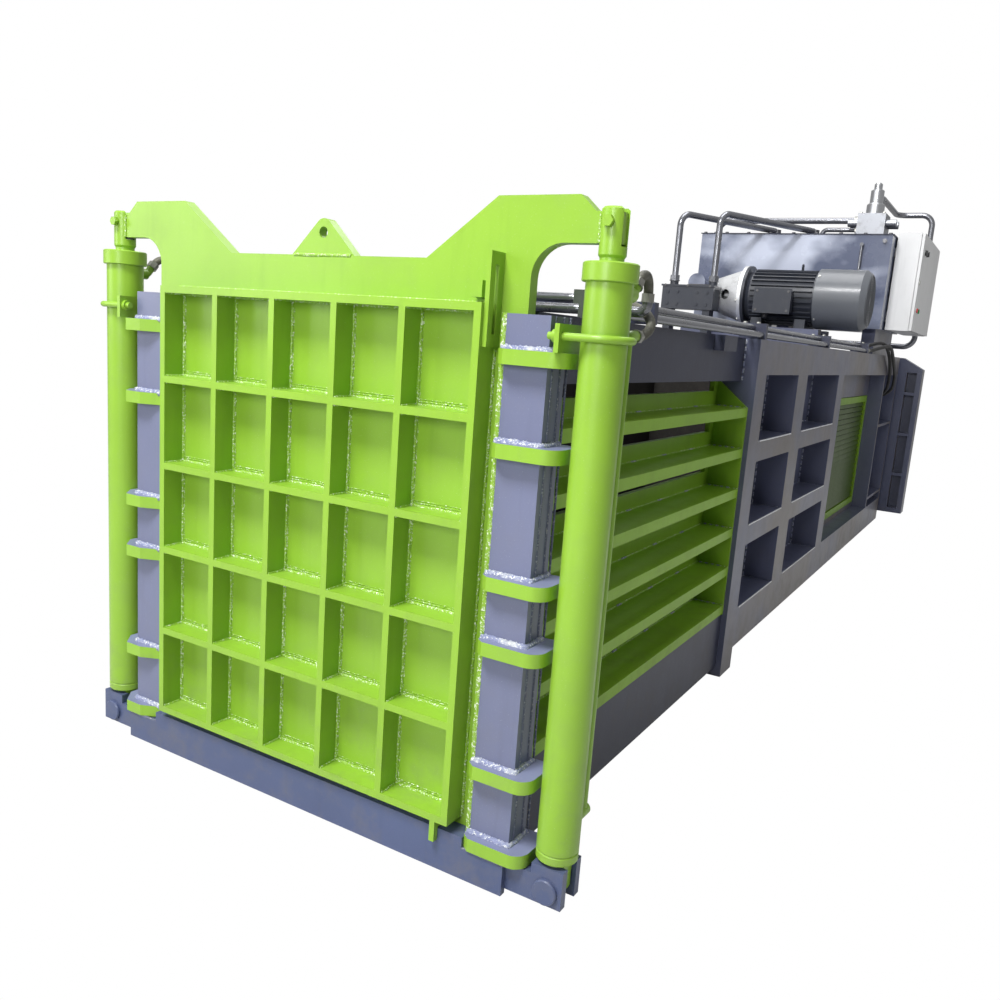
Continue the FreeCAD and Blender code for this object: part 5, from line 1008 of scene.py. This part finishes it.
def screw_frame(size):
    """Bolts of the pipe clamps and left cover, and the crosshead's nuts."""
    low, high = box("pipe_clamps")
    across = (low.x + 0.018, middle("pipe_clamps").x + 0.018)
    spots = grid(across, [FRONT + y + 0.015 for y in CLAMPS], [high.z], UP)
    fasteners("clamp_bolts", spots, size * 0.6, "zinc")

    centre = (0, box("rear_crosshead")[1].y, middle("main_cylinder").z)
    spots = circle(centre, "Y", NUT_CIRCLE, 8, BACK, phase=0.39)
    fasteners("crosshead_nuts", spots, size * 2.4, "dark_steel", height=0.8, tip=0.5)

    low, high = box("left_bay_cover")
    along = [low.y + (high.y - low.y) * share for share in (0.02, 0.2, 0.4, 0.6, 0.8, 0.98)]
    spots = grid([low.x], along, (low.z + 0.03, high.z - 0.03), LEFT)
    fasteners("bay_bolts", spots, size, "zinc")


class BALER_OT_fasteners(bpy.types.Operator):
    """Set the bolts, nuts and screws that show"""

    bl_idname = "baler.fasteners"
    bl_label = "Set the fasteners"

    def execute(self, context):
        size = context.scene.baler_fittings.bolt
        low, high = box("tank_lid")
        spots = rim(low, high, low.z + LID_PLATE, inset=0.028, pitch=0.165)
        fasteners("lid_bolts", spots, size, "dark_steel")
        screw_motor(size)
        screw_blocks(size)
        screw_frame(size)
        return {"FINISHED"}


class BALER_OT_motor_details(bpy.types.Operator):
    """Guard the fan and give the terminal box its gland"""

    bl_idname = "baler.motor_details"
    bl_label = "Detail the motor"

    def execute(self, context):
        rings = context.scene.baler_fittings.rings
        low, high = box("fan_cowl")
        axis = Vector((high.x, *middle("fan_cowl").yz))
        reach = (high.z - low.z) / 2 - 0.034
        lines = []
        for step in range(rings):
            radius = reach * (0.22 + 0.78 * step / (rings - 1))
            ring = [axis + Vector((0.002, radius * y, radius * z)) for y, z in turns(48)]
            lines.append(ring + ring[:1])
        for y, z in turns(12):
            spoke = reach * Vector((0, y, z))
            lines.append([axis + spoke * 0.2, axis + spoke])
        beads("fan_guard", "frame", lines, 0.0022, "cowl", lumps=0.0, step=0.012)

        low = box("terminal_box")[0]
        foot = (middle("terminal_box").x - 0.05, low.y + 0.06, low.z + 0.008)
        lathe("cable_gland", CABLE_GLAND, foot, (0, 0, -1), "black", "frame")
        return {"FINISHED"}


class BALER_OT_pipe_fittings(bpy.types.Operator):
    """Put unions on the pipes and crimped nuts on the hoses"""

    bl_idname = "baler.pipe_fittings"
    bl_label = "Fit the pipe unions"

    def execute(self, context):
        size = context.scene.baler_fittings.union
        lid_top = box("tank_lid")[0].z + LID_PLATE
        tank_low, tank_high = box("oil_tank")
        block_low, block_high = box("valve_block")
        tank_front = tank_high.y - TANK_DEPTH
        x, y = middle("valve_manifold").xy
        spots = []
        for riser in (block_low.x + 0.063, block_high.x - 0.036):
            spots.append(((riser, block_low.y + RISER, block_high.z - 0.012), UP))
            spots.append(((riser + RISER_REACH, tank_front + 0.125, lid_top), UP))
        spots.append(((tank_low.x + 0.042, y, lid_top), UP))
        fasteners("pipe_unions", spots, size, "pipe", height=1.0, collar=1.05)
        spots = [
            ((x - 0.095, y, lid_top + 0.125), LEFT),
            ((x, box("valve_manifold")[1].y, lid_top + 0.0825), BACK),
        ]
        fasteners("manifold_unions", spots, size, "zinc", height=0.9, collar=1.05)
        spots = [((x - 0.095, y, lid_top + 0.06), LEFT), ((x - 0.355, y, lid_top), UP)]
        fasteners("drain_unions", spots, size * 0.72, "zinc", height=0.9, collar=1.05)

        low, high = box("gate_pipes")
        outer_z, inner_z = low.z + PIPE_HALF, high.z - PIPE_HALF
        spots = []
        for hand in SIDES:
            spots.append(((hand * 0.8486, FRONT + 0.3, outer_z + 0.024), UP))
            spots.append(((hand * 0.679, FRONT + 0.345, inner_z), (hand, 0, 0)))
            spots.append(((hand * 0.8566, FRONT + 0.2, 1.537), (0, 0.625, 0.781)))
            spots.append(((hand * 0.8566, FRONT + 0.2245, 1.425), BACK))
        for x, z in ((0.657, inner_z), (0.695, outer_z)):
            spots.append(((x, high.y, z), BACK))
        fasteners("hose_nuts", spots, 0.0165, "dull_zinc", height=1.1, collar=1.0)
        return {"FINISHED"}


class BALER_OT_cabinet_details(bpy.types.Operator):
    """Give the cabinet its knob marks, button caps and lock"""

    bl_idname = "baler.cabinet_details"
    bl_label = "Detail the cabinet"

    def execute(self, context):
        for name, body in (("power_knob", "power_switch"), ("mode_knob", "mode_switch")):
            high, centre = box(name)[1], middle(name)
            mark = upright(high.x - 0.0002, centre.y, centre.z + 0.003, high.z - 0.004)
            beads(name + "_mark", body, [mark], 0.0012, "white", lumps=0.0, step=0.004)
        buttons = (("stop_button", "stop_key", "red"), ("start_button", "start_key", "go"))
        for name, body, finish in buttons:
            foot = (box(name)[1].x - 0.001, *middle(name).yz)
            lathe(name + "_cap", BUTTON_CAP, foot, (1, 0, 0), finish, body)
        low, high = box("cabinet_door")
        foot = (high.x - 0.005, low.y + 0.05, middle("cabinet_door").z)
        lathe("door_lock", DOOR_LOCK, foot, (1, 0, 0), "zinc", "panel_door")
        return {"FINISHED"}


def lay_floor():
    corners = [(-1, -1), (1, -1), (1, 1), (-1, 1)]
    points = [(x * FLOOR_REACH, y * FLOOR_REACH, -0.001) for x, y in corners]
    floor = new_object("studio_floor", new_mesh("studio_floor", points, (), [(0, 1, 2, 3)]))
    recipe = Recipe("pale_floor")
    rays = recipe.add("ShaderNodeLightPath")
    white = recipe.add("ShaderNodeEmission", {}, {"Color": (1, 1, 1, 1), "Strength": 1.0})[0]
    matt = recipe.add("ShaderNodeBsdfDiffuse", {}, {"Color": (0.5, 0.5, 0.5, 1)})[0]
    share = (rays["Is Camera Ray"] + rays["Is Glossy Ray"] * GLOSSY_FLOOR).clamped()
    mixed = recipe.add("ShaderNodeMixShader", {}, {0: share, 1: matt, 2: white})[0]
    recipe.add("ShaderNodeOutputMaterial", {}, {0: mixed})
    floor.data.materials.append(recipe.material)


def light_world(context, strength):
    """White where the camera looks, dimmer in gloss, and dim as light."""
    world = bpy.data.worlds.new("studio_sky")
    context.scene.world = world
    world.use_nodes = True
    sky = Wiring(world.node_tree)
    rays = sky.add("ShaderNodeLightPath")
    seen = rays["Is Camera Ray"].worked("MAXIMUM", rays["Is Glossy Ray"] * GLOSSY_SKY)
    seen = seen.worked("MAXIMUM", rays["Is Transmission Ray"])
    level = sky.add("ShaderNodeMapRange", {}, {0: seen, 3: strength, 4: 1.0})[0]
    inputs = {"Color": (1, 1, 1, 1), "Strength": level}
    background = sky.add("ShaderNodeBackground", {}, inputs)[0]
    sky.add("ShaderNodeOutputWorld", {}, {0: background})


def aim_camera(context, lens):
    yaw, tilt, roll = (math.radians(angle) for angle in CAMERA_TURN)
    flat = math.cos(tilt)
    ahead = Vector((-math.sin(yaw) * flat, math.cos(yaw) * flat, -math.sin(tilt)))
    right = Vector((math.cos(yaw), math.sin(yaw), 0))
    up = right.cross(ahead)
    rolled_right = math.cos(roll) * right + math.sin(roll) * up
    rolled_up = math.cos(roll) * up - math.sin(roll) * right
    camera = bpy.data.cameras.new("photo_camera")
    camera.sensor_width = 36.0
    camera.lens = lens
    camera.clip_end = 200.0
    holder = new_object("photo_camera", camera)
    rows = Matrix((rolled_right, rolled_up, -ahead)).transposed().to_4x4()
    rows.translation = Vector(CAMERA_PLACE)
    holder.matrix_world = rows
    context.scene.camera = holder


class BALER_OT_stage(bpy.types.Operator):
    """Lay the floor, hang the lamps and aim the camera"""

    bl_idname = "baler.stage"
    bl_label = "Set the stage"

    def execute(self, context):
        settings = context.scene.baler_stage
        lay_floor()
        for name, setting, place, target, width, mirrored in LAMPS:
            lamp = bpy.data.lights.new(name, "AREA")
            lamp.energy = getattr(settings, setting)
            lamp.size = width
            holder = new_object(name, lamp)
            holder.location = place
            aim = Vector(target) - Vector(place)
            holder.rotation_euler = aim.to_track_quat("-Z", "Y").to_euler()
            holder.visible_glossy = mirrored
        light_world(context, settings.sky)
        aim_camera(context, settings.lens)
        context.scene.view_settings.view_transform = "Standard"
        return {"FINISHED"}


class BALER_PT_panel(bpy.types.Panel):
    """Lists the steps in the order they are run"""

    bl_label = "Baling Press"
    bl_idname = "BALER_PT_panel"
    bl_space_type = "VIEW_3D"
    bl_region_type = "UI"
    bl_category = "Baling Press"

    def draw(self, context):
        for name in GROUPS:
            group = getattr(context.scene, name)
            section = self.layout.box()
            for key in group.__annotations__:
                section.prop(group, key)
        for operator in OPERATORS:
            self.layout.operator(operator.bl_idname)


GROUPS = {
    "baler_paint": BALER_PG_paint,
    "baler_weld": BALER_PG_weld,
    "baler_fittings": BALER_PG_fittings,
    "baler_stage": BALER_PG_stage,
}
OPERATORS = (
    BALER_OT_paint,
    BALER_OT_gate_welds,
    BALER_OT_frame_welds,
    BALER_OT_fasteners,
    BALER_OT_motor_details,
    BALER_OT_pipe_fittings,
    BALER_OT_cabinet_details,
    BALER_OT_stage,
)


CLASSES = (*GROUPS.values(), *OPERATORS, BALER_PT_panel)


def register():
    for kind in CLASSES:
        bpy.utils.register_class(kind)
    for name, group in GROUPS.items():
        setattr(bpy.types.Scene, name, PointerProperty(type=group))


def unregister():
    for name in GROUPS:
        delattr(bpy.types.Scene, name)
    for kind in reversed(CLASSES):
        bpy.utils.unregister_class(kind)


def main():
    register()
    for operator in OPERATORS:
        family, step = operator.bl_idname.split(".")
        getattr(getattr(bpy.ops, family), step)()


if __name__ == "__main__":
    main()
